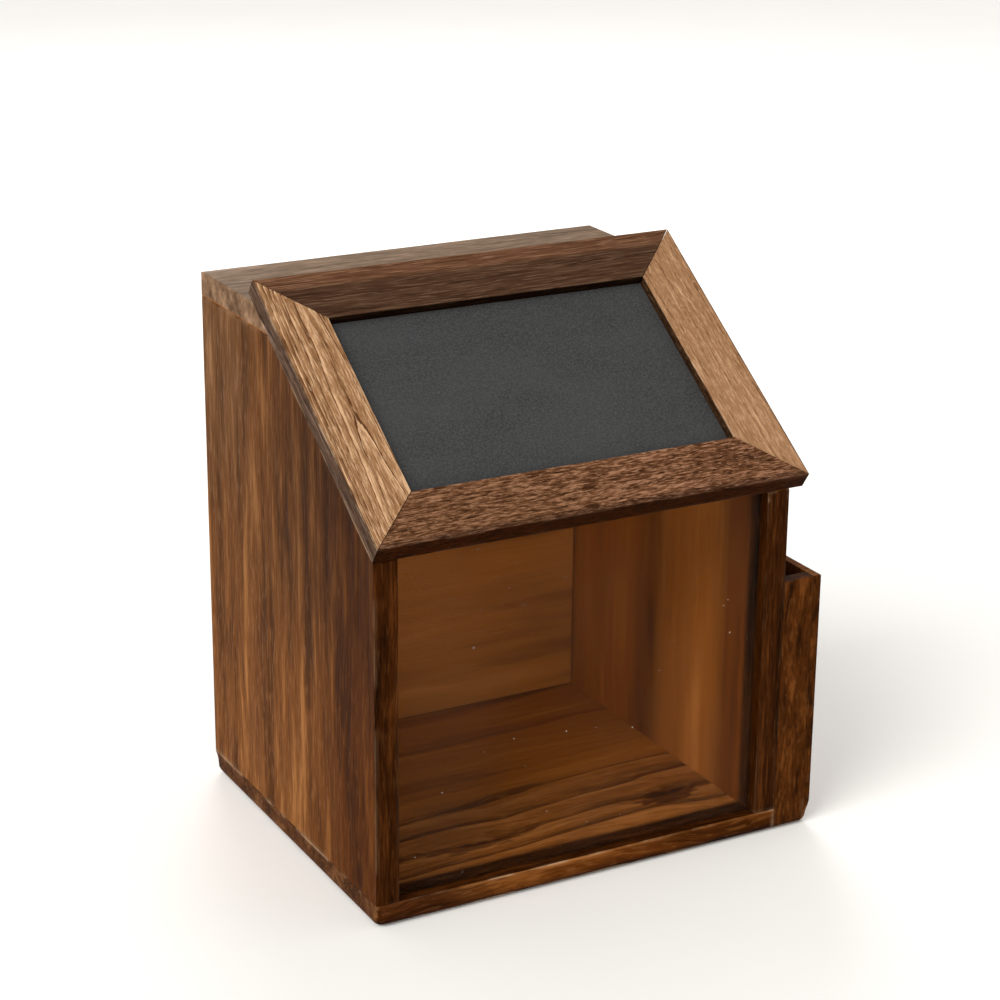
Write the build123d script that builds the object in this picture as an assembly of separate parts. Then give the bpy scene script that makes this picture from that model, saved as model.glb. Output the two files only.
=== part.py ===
from build123d import *
import math
import os

# A wooden desk letter box: case, slanted lid with a chalkboard, clear front,
# side pocket, and a back door with a cam lock. Millimetres, +Z up, front at -Y.
# The origin is on the underside, at the middle of the case.

# Case
case_width = 200.0
case_depth = 175.0
case_height = 244.0
board = 11.0               # thickness of the case boards and the door
edge_round = 0.5           # eased edges of every board

# Slanted lid frame and its chalkboard
lid_slope = 34.35          # degrees
lid_drop = 79.8            # from the case's top down to the lid's underside at the front
lid_setback = 0.5          # along the slope, from the case's front
lid_past_top = 5.0         # along the slope, upper edge past the top board's front edge
lid_thick = 8.8
lid_overhang_left = 0.4
lid_overhang_right = 6.8
member_width = 25.7
rebate_width = 6.0
rebate_lip = 4.6           # wood left in front of the chalkboard
chalkboard_thick = 4.0
chalkboard_play = 0.4      # all round, in its rebate
v_nail_leg = 5.0
v_nail_thick = 0.8
v_nail_depth = 5.5

# Window
pane_thick = 2.0
pane_setback = 5.5
groove_depth = 4.0
groove_play = 0.15         # each side of the pane, and at its edges

# Letter slot in the top board
slot_length = 130.0
slot_width = 10.0
slot_behind_lid = 9.0      # from the lid's underside, on the top face

# Side pocket, on the right
pocket_reach = 19.3        # out from the case
pocket_length = 115.0      # front to back
pocket_height = 121.4
pocket_end_thick = 6.5
pocket_outer_thick = 3.9
pocket_floor_thick = 6.5

# Brads
brad_radius = 0.7
brad_head_radius = 1.4
brad_head_thick = 0.7
brad_sink = 0.4            # head below the wood's face
case_brad_length = 24.0
pocket_brad_length = 12.0
case_brad_rows = 3
case_brad_inset = 20.0     # from the case's front and back
top_brad_ahead = 40.0      # from the case's back
pocket_brad_inset = 18.0   # from the pocket's top and bottom

# Back door and its hinges
door_gap = 0.8
door_rest_gap = 0.3        # between the closed door and its stop
hinge_height = 25.0
hinge_inset = 22.0         # from the door's ends to the hinge's end
leaf_width = 10.0          # from the pin's axis
leaf_thick = 1.0
barrel_radius = 1.7
hinge_pin_radius = 0.85
hinge_pin_proud = 0.3
running_play = 0.06        # radial, of everything that turns
knuckle_gap = 0.15
leaf_screw_spacing = 15.0
leaf_screw_offset = 5.8    # from the pin's axis
screw_length = 9.0
screw_radius = 0.9
screw_head_radius = 2.0
screw_head_depth = 1.1
screw_tip = 1.8
recess_width = 0.5
recess_depth = 0.6

# Door stop strip, which the cam catches
strip_width = 8.0
cam_play = 0.6             # between the locked cam and the strip

# Cam lock
lock_inset = 25.0          # from the case's left wall to the lock's axis
lock_height = 122.0
bezel_radius = 11.0
bezel_front_radius = 8.2
bezel_rim = 0.6
bezel_height = 3.2
housing_radius = 8.9
housing_length = 18.0      # behind the door's face
housing_play = 0.2         # in the door's hole
nut_across = 22.0
nut_thick = 3.5
plug_disc_radius = 7.4
plug_disc_thick = 1.9
plug_recess = 0.4          # plug's face below the bezel's
plug_radius = 5.8
cam_standoff = 0.2         # cam behind the housing
tail_side = 6.5
cam_thick = 2.0
cam_width = 13.0
cam_reach = 22.0
cam_screw_head_radius = 3.6
cam_screw_head_thick = 1.8
cam_screw_radius = 1.6
cam_screw_depth = 3.0
pin_count = 4
pin_pitch = 3.0
pin_first = 3.0            # behind the door's face
pin_radius = 0.9
pin_play = 0.06
shear_gap = 0.1            # between the pins and the shear line
driver_length = 2.0

# Keys and ring
key_thick = 2.0
blade_width = 8.0
blade_length = 19.0
blade_tip = 1.5
key_play = 0.1             # blade in keyway
neck_length = 3.0
bow_width = 20.5
bow_length = 16.5
bow_corner = 4.0
bow_shoulder = 3.0
bow_hole_width = 6.0
bow_hole_length = 4.0
bow_hole_inset = 5.0       # hole's middle from the bow's end
bow_panel_width = 11.0
bow_panel_length = 3.6
bow_panel_inset = 12.0     # panel's middle from the bow's end
bow_panel_depth = 0.4
dimple_radius = 0.8
ring_wire_radius = 0.9
ring_inner_radius = 8.4
hang_gap = 0.1             # between hanging pieces

# Places worked out from the sizes
x_wall = case_width / 2 - board
y_front = -case_depth / 2
y_back = case_depth / 2
y_door = y_back - board
z_floor = board
z_ceiling = case_height - board
slope = math.radians(lid_slope)
lid_front_height = case_height - lid_drop
lid_end = lid_drop / math.sin(slope) + lid_past_top
x_lid_left = -case_width / 2 - lid_overhang_left
x_lid_right = case_width / 2 + lid_overhang_right
y_pane = y_front + pane_setback
x_pocket_outer = case_width / 2 + pocket_reach
x_pocket_inner = x_pocket_outer - pocket_outer_thick
y_pocket_back = y_front + pocket_length
x_hinge = x_wall - door_gap / 2
y_hinge = y_back + barrel_radius
z_hinges = {
    "lower": z_floor + door_gap + hinge_inset + hinge_height / 2,
    "upper": z_ceiling - door_gap - hinge_inset - hinge_height / 2,
}
x_lock = -x_wall + lock_inset
plug_face = bezel_height - plug_recess
cam_face = -housing_length - cam_standoff
strip_thick = -cam_face - board - door_rest_gap - cam_play
pin_places = [-pin_first - i * pin_pitch for i in range(pin_count)]

# Frames: the lid's underside, with Y up the slope, and the lock's axis, with Z
# out of the door and Y down.
lid_frame = Plane(
    origin=(0, y_front, lid_front_height),
    x_dir=(1, 0, 0),
    z_dir=(0, -math.sin(slope), math.cos(slope)),
)
lock_frame = Plane(origin=(x_lock, y_back, lock_height), x_dir=(1, 0, 0), z_dir=(0, 1, 0))


def block(x0, x1, y0, y1, z0, z1):
    """A box between two corners."""
    middle = Pos((x0 + x1) / 2, (y0 + y1) / 2, (z0 + z1) / 2)
    return middle * Box(x1 - x0, y1 - y0, z1 - z0)


def eased(solid):
    """The same board with all its edges rounded."""
    return fillet(solid.edges(), edge_round)


def rod(radius, low, high):
    """A cylinder along Z between two heights."""
    return Pos(0, 0, (low + high) / 2) * Cylinder(radius, high - low)


def group(solids):
    """Separate solids kept together in one piece."""
    return Part() + list(solids)


def lid_line(y):
    """Height of the lid's underside at a distance y from front to back."""
    return lid_front_height + (y - y_front) * math.tan(slope)


def lid_line_y(z):
    """Where the lid's underside has the height z."""
    return y_front + (z - lid_front_height) / math.tan(slope)


def brad(length):
    """A small nail pointing down -Z, its head's top at the origin."""
    return rod(brad_head_radius, -brad_head_thick, 0) + rod(brad_radius, -length, -brad_head_thick)


def brad_hole(length):
    """The space that a sunk brad takes from the wood, from the face down."""
    return Pos(0, 0, -brad_sink) * brad(length) + rod(brad_head_radius, -brad_sink, 0)


def case_brad_frames():
    """Faces and directions of the brads in the floor and the top."""
    step = (case_depth - 2 * case_brad_inset) / (case_brad_rows - 1)
    x_edge = case_width / 2 - board / 2
    frames = []
    for x in (-x_edge, x_edge):
        for row in range(case_brad_rows):
            y = y_front + case_brad_inset + row * step
            frames.append(Plane(origin=(x, y, 0), x_dir=(1, 0, 0), z_dir=(0, 0, -1)))
        frames.append(Plane(origin=(x, y_back - top_brad_ahead, case_height), z_dir=(0, 0, 1)))
    return frames


def pocket_brad_frames():
    """Faces and directions of the brads through the pocket's outer board."""
    frames = []
    for y in (y_front + pocket_end_thick / 2, y_pocket_back - pocket_end_thick / 2):
        for z in (pocket_brad_inset, pocket_height - pocket_brad_inset):
            frames.append(Plane(origin=(x_pocket_outer, y, z), x_dir=(0, 1, 0), z_dir=(1, 0, 0)))
    return frames


def nailed(wood, frames, length):
    """A board with the holes of the brads that go through it."""
    for frame in frames:
        wood -= frame * brad_hole(length)
    return wood


def brads(frames, length):
    """All the brads at the given frames."""
    return group(frame * Pos(0, 0, -brad_sink) * brad(length) for frame in frames)


def pane_groove():
    """The groove cut for the pane in the floor and both sides."""
    reach = x_wall + groove_depth
    thick = pane_thick + 2 * groove_play
    y0 = y_pane - groove_play
    return block(-reach, reach, y0, y0 + thick, z_floor - groove_depth, case_height)


def floor_board():
    """The case's floor, with its end grain at both sides."""
    wood = eased(block(-case_width / 2, case_width / 2, y_front, y_back, 0, board))
    return nailed(wood - pane_groove(), case_brad_frames(), case_brad_length)


def side_panel(side):
    """A side of the case; side is -1 for the left one and 1 for the right."""
    outline = Polyline(
        (y_front, z_floor),
        (y_front, lid_front_height),
        (lid_line_y(z_ceiling), z_ceiling),
        (y_back, z_ceiling),
        (y_back, z_floor),
        close=True,
    )
    x0 = x_wall if side > 0 else -case_width / 2
    face = Plane(origin=(x0, 0, 0), x_dir=(0, 1, 0), z_dir=(1, 0, 0)) * make_face(outline)
    wood = eased(extrude(face, amount=board)) - pane_groove()
    wood = nailed(wood, case_brad_frames(), case_brad_length)
    if side > 0:
        for frame in screw_frames(side):
            wood -= frame * screw_blank()
    return wood


def top_board():
    """The flat top, bevelled at the front to meet the lid, with the letter slot."""
    outline = Polyline(
        (lid_line_y(z_ceiling), z_ceiling),
        (lid_line_y(case_height), case_height),
        (y_back, case_height),
        (y_back, z_ceiling),
        close=True,
    )
    x0 = -case_width / 2
    face = Plane(origin=(x0, 0, 0), x_dir=(0, 1, 0), z_dir=(1, 0, 0)) * make_face(outline)
    wood = eased(extrude(face, amount=case_width))
    slot = extrude(letter_slot(), amount=-board)
    return nailed(wood - slot, case_brad_frames(), case_brad_length)


def letter_slot():
    """The slot's outline, on the top face."""
    y_slot = lid_line_y(case_height) + slot_behind_lid + slot_width / 2
    return Plane(origin=(0, y_slot, case_height)) * SlotOverall(slot_length, slot_width)


def window_pane():
    """The clear sheet in the floor's and sides' grooves, under the lid."""
    reach = x_wall + groove_depth - groove_play
    low = z_floor - groove_depth + groove_play
    return block(-reach, reach, y_pane, y_pane + pane_thick, low, lid_line(y_pane) - groove_play)


def lid_corners(inset):
    """The corners of the lid's outline moved in by inset, from bottom left, anticlockwise."""
    x0, x1 = x_lid_left + inset, x_lid_right - inset
    y0, y1 = lid_setback + inset, lid_end - inset
    return [(x0, y0), (x1, y0), (x1, y1), (x0, y1)]


def v_nail_at(corner, inward):
    """A bent nail across one mitre, driven into the lid's back."""
    outline = Polyline(
        (0, 0), (v_nail_leg, v_nail_leg), (v_nail_leg, v_nail_leg - v_nail_thick),
        (v_nail_thick / 2, -v_nail_thick / 2), (v_nail_leg, -v_nail_leg - v_nail_thick),
        (v_nail_leg, -v_nail_leg - 2 * v_nail_thick), (0, -v_nail_thick), close=True,
    )
    nail = extrude(make_face(outline), amount=v_nail_depth)
    turn = math.degrees(math.atan2(inward[1], inward[0]))
    return lid_frame * Pos(corner[0], corner[1], 0) * Rot(0, 0, turn) * nail


def v_nails():
    """The four bent nails, each halfway along its mitre outside the rebate."""
    middles = lid_corners((member_width - rebate_width) / 2)
    inwards = [(1, 1), (-1, 1), (-1, -1), (1, -1)]
    return [v_nail_at(corner, inward) for corner, inward in zip(middles, inwards)]


def lid_members():
    """The four mitred members, cut from one rebated frame."""
    outer, inner = lid_corners(0), lid_corners(member_width)
    rebate = lid_corners(member_width - rebate_width)
    frame = eased(extrude(make_face(Polyline(*outer, close=True)), amount=lid_thick))
    frame -= extrude(make_face(Polyline(*inner, close=True)), amount=lid_thick)
    frame -= extrude(make_face(Polyline(*rebate, close=True)), amount=lid_thick - rebate_lip)
    nails = [lid_frame.location.inverse() * nail for nail in v_nails()]
    names = ["lid_bottom_rail", "lid_right_stile", "lid_top_rail", "lid_left_stile"]
    members = {}
    for i, name in enumerate(names):
        j = (i + 1) % len(outer)
        mitred = make_face(Polyline(outer[i], outer[j], inner[j], inner[i], close=True))
        member = frame & extrude(mitred, amount=lid_thick)
        for nail in nails:
            member -= nail
        members[name] = lid_frame * member
    return members


def chalkboard_panel():
    """The dark board in the lid's rebate, against its lip."""
    corners = lid_corners(member_width - rebate_width + chalkboard_play)
    (x0, y0), (x1, y1) = corners[0], corners[2]
    high = lid_thick - rebate_lip
    return lid_frame * block(x0, x1, y0, y1, high - chalkboard_thick, high)


def pocket_boards():
    """The four boards of the side pocket."""
    x0 = case_width / 2
    y_ends = (y_front + pocket_end_thick, y_pocket_back - pocket_end_thick)
    front = eased(block(x0, x_pocket_inner, y_front, y_ends[0], 0, pocket_height))
    back = eased(block(x0, x_pocket_inner, y_ends[1], y_pocket_back, 0, pocket_height))
    outer = eased(block(x_pocket_inner, x_pocket_outer, y_front, y_pocket_back, 0, pocket_height))
    floor = eased(block(x0, x_pocket_inner, y_ends[0], y_ends[1], 0, pocket_floor_thick))
    frames = pocket_brad_frames()
    return {
        "pocket_front_board": nailed(front, frames, pocket_brad_length),
        "pocket_back_board": nailed(back, frames, pocket_brad_length),
        "pocket_outer_board": nailed(outer, frames, pocket_brad_length),
        "pocket_floor_board": floor,
    }


def door_stop_strip():
    """The strip inside the left side that stops the door and holds the cam."""
    y1 = y_door - door_rest_gap
    return block(-x_wall, -x_wall + strip_width, y1 - strip_thick, y1, z_floor, z_ceiling)


def back_door():
    """The back, inset between the sides, with the lock's hole."""
    reach = x_wall - door_gap
    wood = eased(block(-reach, reach, y_door, y_back, z_floor + door_gap, z_ceiling - door_gap))
    wood -= lock_frame * rod(housing_radius + housing_play, -2 * board, board)
    for frame in screw_frames(-1):
        wood -= frame * screw_blank()
    return wood


def screw_frames(side):
    """Frames of the hinge screws, Z out of the leaf; side 1 is the case's leaves."""
    frames = []
    for z_hinge in z_hinges.values():
        for step in (-leaf_screw_spacing / 2, leaf_screw_spacing / 2):
            place = (x_hinge + side * leaf_screw_offset, y_back + leaf_thick, z_hinge + step)
            frames.append(Plane(origin=place, x_dir=(1, 0, 0), z_dir=(0, 1, 0)))
    return frames


def screw_blank():
    """A countersunk wood screw without its recess, its head's top at the origin."""
    head = Pos(0, 0, -screw_head_depth / 2) * Cone(screw_radius, screw_head_radius, screw_head_depth)
    shank = rod(screw_radius, -screw_length + screw_tip, -screw_head_depth)
    tip = Pos(0, 0, -screw_length + screw_tip / 2) * Cone(0, screw_radius, screw_tip)
    return head + shank + tip


def screw():
    """The screw with its cross recess."""
    bar = Box(2 * screw_radius, recess_width, 2 * recess_depth)
    return screw_blank() - bar - Rot(0, 0, 90) * bar


def hinge_leaf(side, knuckles):
    """One leaf around the pin's axis, which is Z; knuckles are its thirds."""
    third = hinge_height / 3
    x0, x1 = sorted((0, side * leaf_width))
    y0 = -barrel_radius
    leaf = block(x0, x1, y0, y0 + leaf_thick, -hinge_height / 2, hinge_height / 2)
    clear = barrel_radius + knuckle_gap
    for i in range(3):
        low = -hinge_height / 2 + i * third
        if i in knuckles:
            leaf += rod(barrel_radius, low + knuckle_gap * (i > 0), low + third - knuckle_gap * (i < 2))
        else:
            leaf -= block(-clear, clear, -clear, clear, low - knuckle_gap, low + third + knuckle_gap)
    bore = hinge_pin_radius + (running_play if side < 0 else 0)
    return leaf - rod(bore, -hinge_height, hinge_height)


def hinges():
    """Leaves, pins and screws of both hinges."""
    pieces = {}
    case_screws = [frame * screw() for frame in screw_frames(1)]
    door_screws = [frame * screw() for frame in screw_frames(-1)]
    for name, z_hinge in z_hinges.items():
        place = Pos(x_hinge, y_hinge, z_hinge)
        case_leaf = place * hinge_leaf(1, (0, 2))
        door_leaf = place * hinge_leaf(-1, (1,))
        for frame in screw_frames(1):
            case_leaf -= frame * screw_blank()
        for frame in screw_frames(-1):
            door_leaf -= frame * screw_blank()
        half = hinge_height / 2 + hinge_pin_proud
        pieces["hinge_case_leaf_" + name] = case_leaf
        pieces["hinge_door_leaf_" + name] = door_leaf
        pieces["hinge_pin_" + name] = place * rod(hinge_pin_radius, -half, half)
    pieces["hinge_case_screws"] = group(case_screws)
    pieces["hinge_door_screws"] = group(door_screws)
    return pieces


def pin_bores(radius, low, high):
    """Radial holes or pins above the lock's axis, between two radii."""
    return [Pos(0, 0, z) * Rot(90, 0, 0) * rod(radius, low, high) for z in pin_places]


def lock_housing():
    """The lock's body with its bevelled bezel."""
    cone_height = bezel_height - bezel_rim
    cone = Pos(0, 0, bezel_rim + cone_height / 2) * Cone(bezel_radius, bezel_front_radius, cone_height)
    body = rod(bezel_radius, 0, bezel_rim) + cone + rod(housing_radius, -housing_length, 0)
    disc_seat = plug_face - plug_disc_thick - running_play
    body -= rod(plug_disc_radius + running_play, disc_seat, bezel_height)
    body -= rod(plug_radius + running_play, -housing_length, disc_seat)
    bore_top = plug_radius + running_play + shear_gap + driver_length + pin_play
    for bore in pin_bores(pin_radius + pin_play, plug_radius, bore_top):
        body -= bore
    return body


def lock_plug():
    """The turning core, with its keyway, pin holes and square tail."""
    disc_low = plug_face - plug_disc_thick
    plug = rod(plug_disc_radius, disc_low, plug_face) + rod(plug_radius, cam_face, disc_low)
    tail_low = cam_face - cam_thick + shear_gap
    plug += block(-tail_side / 2, tail_side / 2, -tail_side / 2, tail_side / 2, tail_low, cam_face)
    keyway = Box(blade_width + 2 * key_play, key_thick + 2 * key_play, blade_length + key_play)
    plug -= Pos(0, 0, plug_face - (blade_length + key_play) / 2) * keyway
    for bore in pin_bores(pin_radius + pin_play, 0, plug_radius):
        plug -= bore
    return plug - rod(cam_screw_radius, cam_face - cam_thick, cam_face - cam_thick + cam_screw_depth)


def lock_cam():
    """The blade that catches the stop strip, pointing down when unlocked."""
    half = cam_width / 2
    plate = block(-half, half, 0, cam_reach, cam_face - cam_thick, cam_face)
    plate += Pos(0, 0, cam_face - cam_thick / 2) * Cylinder(half, cam_thick)
    tail = tail_side / 2
    return plate - block(-tail, tail, -tail, tail, cam_face - cam_thick, cam_face)


def cam_screw():
    """The screw that clamps the cam on the plug's tail."""
    seat = cam_face - cam_thick
    head_face = seat - cam_screw_head_thick
    head = rod(cam_screw_head_radius, head_face, seat)
    bar = Pos(0, 0, head_face) * Box(cam_screw_head_radius, recess_width, 2 * recess_depth)
    shank = rod(cam_screw_radius, seat, seat + cam_screw_depth)
    return head + shank - bar - Rot(0, 0, 90) * bar


def lock_nut():
    """The hexagonal nut that holds the housing in the door."""
    nut = extrude(RegularPolygon(nut_across / 2, 6, major_radius=False), amount=-nut_thick)
    return Pos(0, 0, -board) * nut - rod(housing_radius + running_play, -board - nut_thick, -board)


def key_blank():
    """A flat dimple key: blade down -Z from the plug's face, bow up +Z."""
    blade = blade_width / 2
    bow = bow_width / 2
    bow_end = neck_length + bow_length
    right = [
        (blade - blade_tip, -blade_length),
        (blade, -blade_length + blade_tip),
        (blade, neck_length),
        (bow - bow_shoulder, neck_length),
        (bow, neck_length + bow_shoulder),
        (bow, bow_end - bow_corner),
        (bow - bow_corner, bow_end),
    ]
    left = [(-x, z) for x, z in reversed(right)]
    outline = Polyline(*right, *left, close=True)
    key = extrude(Plane.XZ * make_face(outline), amount=key_thick / 2, both=True)
    hole = SlotOverall(bow_hole_width, bow_hole_length)
    z_hole = bow_end - bow_hole_inset
    key -= Pos(0, 0, z_hole) * extrude(Plane.XZ * hole, amount=key_thick, both=True)
    panel = Box(bow_panel_width, 2 * bow_panel_depth, bow_panel_length)
    for face in (-key_thick / 2, key_thick / 2):
        key -= Pos(0, face, bow_end - bow_panel_inset) * panel
        for z in pin_places:
            key -= Pos(0, face, z - plug_face) * Sphere(dimple_radius)
    return key


def hanging():
    """Where the ring and the spare key hang, from the key's and ring's sizes."""
    rim_half = (bow_width - bow_hole_width) / 4
    rim_middle = (bow_width + bow_hole_width) / 4
    reach = ring_inner_radius - hang_gap
    drop = math.sqrt(reach ** 2 - rim_half ** 2) - key_thick / 2
    ring_y = y_back + plug_face + neck_length + bow_length - bow_hole_inset
    ring = Vector(x_lock + rim_middle, ring_y, lock_height - drop)
    # As the key turns, the ring slides on the hole's upper corner and stays hanging.
    to_corner = Vector(-rim_half / reach, 0, (drop + key_thick / 2) / reach)
    swing = drop / (to_corner.Z - to_corner.X)
    pivot = ring + to_corner * swing
    wire = ring - Vector(0, 0, ring_inner_radius + ring_wire_radius)
    return ring, pivot, wire


def lock_key():
    """The key in the lock, its bow level."""
    return lock_frame * Pos(0, 0, plug_face) * key_blank()


def key_ring():
    """The ring through the hole of the key in the lock, round the bow's side."""
    ring, _, _ = hanging()
    torus = Torus(ring_inner_radius + ring_wire_radius, ring_wire_radius)
    return Plane(origin=ring, z_dir=(0, 1, 0)) * torus


def spare_key():
    """The second key, hanging edge-on from the ring."""
    _, _, wire = hanging()
    hole = neck_length + bow_length - bow_hole_inset
    hole_top = hole + bow_hole_length / 2
    base = wire + Vector(0, 0, ring_wire_radius + hang_gap - hole_top)
    return Plane(origin=base, x_dir=(0, 1, 0), z_dir=(0, 0, 1)) * key_blank()


def key_pins():
    """The pins that stand on the key's blade, inside the plug."""
    low = key_thick / 2 + shear_gap
    high = math.sqrt(plug_radius ** 2 - pin_radius ** 2) - shear_gap / 2
    return group(lock_frame * pin for pin in pin_bores(pin_radius, low, high))


def driver_pins():
    """The pins above them, in the housing."""
    low = plug_radius + running_play + shear_gap
    return group(lock_frame * pin for pin in pin_bores(pin_radius, low, low + driver_length))


pieces = {
    "floor_board": floor_board(),
    "left_side_panel": side_panel(-1),
    "right_side_panel": side_panel(1),
    "top_board": top_board(),
    "window_pane": window_pane(),
    "chalkboard_panel": chalkboard_panel(),
    "frame_v_nails": group(v_nails()),
    "door_stop_strip": door_stop_strip(),
    "case_brads": brads(case_brad_frames(), case_brad_length),
    "pocket_brads": brads(pocket_brad_frames(), pocket_brad_length),
    "back_door": back_door(),
    "lock_housing": lock_frame * lock_housing(),
    "lock_nut": lock_frame * lock_nut(),
    "lock_driver_pins": driver_pins(),
    "lock_plug": lock_frame * lock_plug(),
    "lock_cam": lock_frame * lock_cam(),
    "cam_screw": lock_frame * cam_screw(),
    "lock_key_pins": key_pins(),
    "lock_key": lock_key(),
    "key_ring": key_ring(),
    "spare_key": spare_key(),
}
pieces.update(lid_members())
pieces.update(pocket_boards())
pieces.update(hinges())

os.makedirs("parts", exist_ok=True)
for name, solid in pieces.items():
    export_step(solid, f"parts/{name}.step")
ring_centre, ring_pivot, wire_centre = hanging()
print("door hinge", x_hinge, y_hinge)
print("lock axis", x_lock, y_back, lock_height)
print("ring pivot", ring_pivot, "ring centre", ring_centre, "wire", wire_centre)
print(len(pieces), "pieces")
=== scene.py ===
import math

import bmesh
import bpy
import numpy as np
from mathutils import Matrix, Vector


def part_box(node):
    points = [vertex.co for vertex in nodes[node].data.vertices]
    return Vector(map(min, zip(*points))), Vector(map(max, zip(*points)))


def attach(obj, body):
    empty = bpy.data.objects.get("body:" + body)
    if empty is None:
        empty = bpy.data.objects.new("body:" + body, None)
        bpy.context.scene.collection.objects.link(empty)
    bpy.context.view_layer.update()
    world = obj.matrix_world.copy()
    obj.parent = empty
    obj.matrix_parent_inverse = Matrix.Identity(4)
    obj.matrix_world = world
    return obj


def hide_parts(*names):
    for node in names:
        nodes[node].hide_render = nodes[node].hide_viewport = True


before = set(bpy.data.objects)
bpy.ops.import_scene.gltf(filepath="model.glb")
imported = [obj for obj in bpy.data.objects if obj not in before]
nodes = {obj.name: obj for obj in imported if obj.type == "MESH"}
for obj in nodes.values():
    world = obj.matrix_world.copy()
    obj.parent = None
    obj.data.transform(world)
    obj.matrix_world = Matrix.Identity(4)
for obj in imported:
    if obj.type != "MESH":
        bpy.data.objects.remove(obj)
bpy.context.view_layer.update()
scene = bpy.context.scene
mm = 0.001
print("frame loaded,", len(nodes), "nodes")

# Places are read from the frame. Axes are three rows: along the grain, across the face, through the board.


def nodePoints(name):
    mesh = nodes[name].data
    points = np.empty(len(mesh.vertices) * 3)
    mesh.vertices.foreach_get("co", points)
    return points.reshape(-1, 3)


def makeAxes(along, across):
    along, across = np.array(along, float), np.array(across, float)
    return np.array([along, across, np.cross(along, across)])


def localBox(name, axes):
    local = nodePoints(name) @ axes.T
    return local.min(0), local.max(0)


def lidAxes():
    faces = [face for face in nodes["chalkboard_panel"].data.polygons if face.normal.z > 0]
    normal = np.array(max(faces, key=lambda face: face.area).normal)
    return makeAxes((1, 0, 0), np.cross(normal, (1, 0, 0)))


grainX = makeAxes((1, 0, 0), (0, 1, 0))
grainXUpright = makeAxes((1, 0, 0), (0, 0, 1))
grainY = makeAxes((0, 1, 0), (-1, 0, 0))
grainZ = makeAxes((0, 0, 1), (0, 1, 0))
grainZFront = makeAxes((0, 0, 1), (1, 0, 0))
lidRail = lidAxes()
lidStile = makeAxes(lidRail[1], -lidRail[0])
lidUnder = localBox("lid_bottom_rail", lidRail)[0][2]


def heightUnderLid(y):
    return (lidUnder - y * lidRail[2][1]) / lidRail[2][2]


def yUnderLid(z):
    return (lidUnder - z * lidRail[2][2]) / lidRail[2][1]


def newObject(name, points, faces):
    mesh = bpy.data.meshes.new(name)
    mesh.from_pydata(np.asarray(points).tolist(), [], np.asarray(faces).tolist())
    mesh.update()
    obj = bpy.data.objects.new(name, mesh)
    scene.collection.objects.link(obj)
    return obj


def bake(obj):
    evaluated = obj.evaluated_get(bpy.context.evaluated_depsgraph_get())
    mesh = bpy.data.meshes.new_from_object(evaluated)
    obj.modifiers.clear()
    obj.data = mesh
    return obj


def smoothed(obj, angle):
    obj.data.polygons.foreach_set("use_smooth", [True] * len(obj.data.polygons))
    obj.data.set_sharp_from_angle(angle=math.radians(angle))
    return obj


def looseParts(name):
    mesh = bmesh.new()
    mesh.from_mesh(nodes[name].data)
    bmesh.ops.remove_doubles(mesh, verts=mesh.verts, dist=0.001 * mm)
    left, parts = set(mesh.verts), []
    while left:
        stack, part = [left.pop()], []
        while stack:
            vertex = stack.pop()
            part.append(list(vertex.co))
            near = [edge.other_vert(vertex) for edge in vertex.link_edges]
            fresh = [other for other in near if other in left]
            left.difference_update(fresh)
            stack.extend(fresh)
        parts.append(np.array(part))
    mesh.free()
    return parts


class Wiring:
    def __init__(self, tree):
        self.tree = tree

    def node(self, kind, **settings):
        made = self.tree.nodes.new(kind)
        for key, value in settings.items():
            setattr(made, key, value)
        return made

    def put(self, socket, value):
        if isinstance(value, bpy.types.NodeSocket):
            self.tree.links.new(value, socket)
        else:
            socket.default_value = value

    def math(self, operation, *values, clamp=False):
        made = self.node("ShaderNodeMath", operation=operation, use_clamp=clamp)
        for socket, value in zip(made.inputs, values):
            self.put(socket, value)
        return made.outputs[0]

    def vector(self, operation, *values):
        made = self.node("ShaderNodeVectorMath", operation=operation)
        for socket, value in zip(made.inputs, values):
            self.put(socket, value)
        return made.outputs["Value" if operation in ("LENGTH", "DOT_PRODUCT") else "Vector"]

    def scaled(self, vector, factor):
        made = self.node("ShaderNodeVectorMath", operation="SCALE")
        self.put(made.inputs[0], vector)
        self.put(made.inputs["Scale"], factor)
        return made.outputs["Vector"]

    def joined(self, x, y, z):
        made = self.node("ShaderNodeCombineXYZ")
        for socket, value in zip(made.inputs, (x, y, z)):
            self.put(socket, value)
        return made.outputs[0]

    def split(self, vector):
        made = self.node("ShaderNodeSeparateXYZ")
        self.put(made.inputs[0], vector)
        return made.outputs

    def noise(self, vector, scale=1.0, detail=2.0, roughness=0.5):
        made = self.node("ShaderNodeTexNoise", noise_dimensions="3D")
        for key, value in {"Vector": vector, "Scale": scale, "Detail": detail, "Roughness": roughness}.items():
            self.put(made.inputs[key], value)
        return made.outputs

    def ramp(self, value, low, high, start=0.0, end=1.0):
        made = self.node("ShaderNodeMapRange", interpolation_type="SMOOTHSTEP")
        names = ("Value", "From Min", "From Max", "To Min", "To Max")
        for key, given in zip(names, (value, low, high, start, end)):
            self.put(made.inputs[key], given)
        return made.outputs[0]

    def mix(self, factor, a, b, blend="MIX"):
        made = self.node("ShaderNodeMix", data_type="RGBA", blend_type=blend)
        self.put(made.inputs[0], factor)
        for socket, value in zip((made.inputs[6], made.inputs[7]), (a, b)):
            self.put(socket, value if isinstance(value, bpy.types.NodeSocket) else (*value, 1.0))
        return made.outputs[2]


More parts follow.
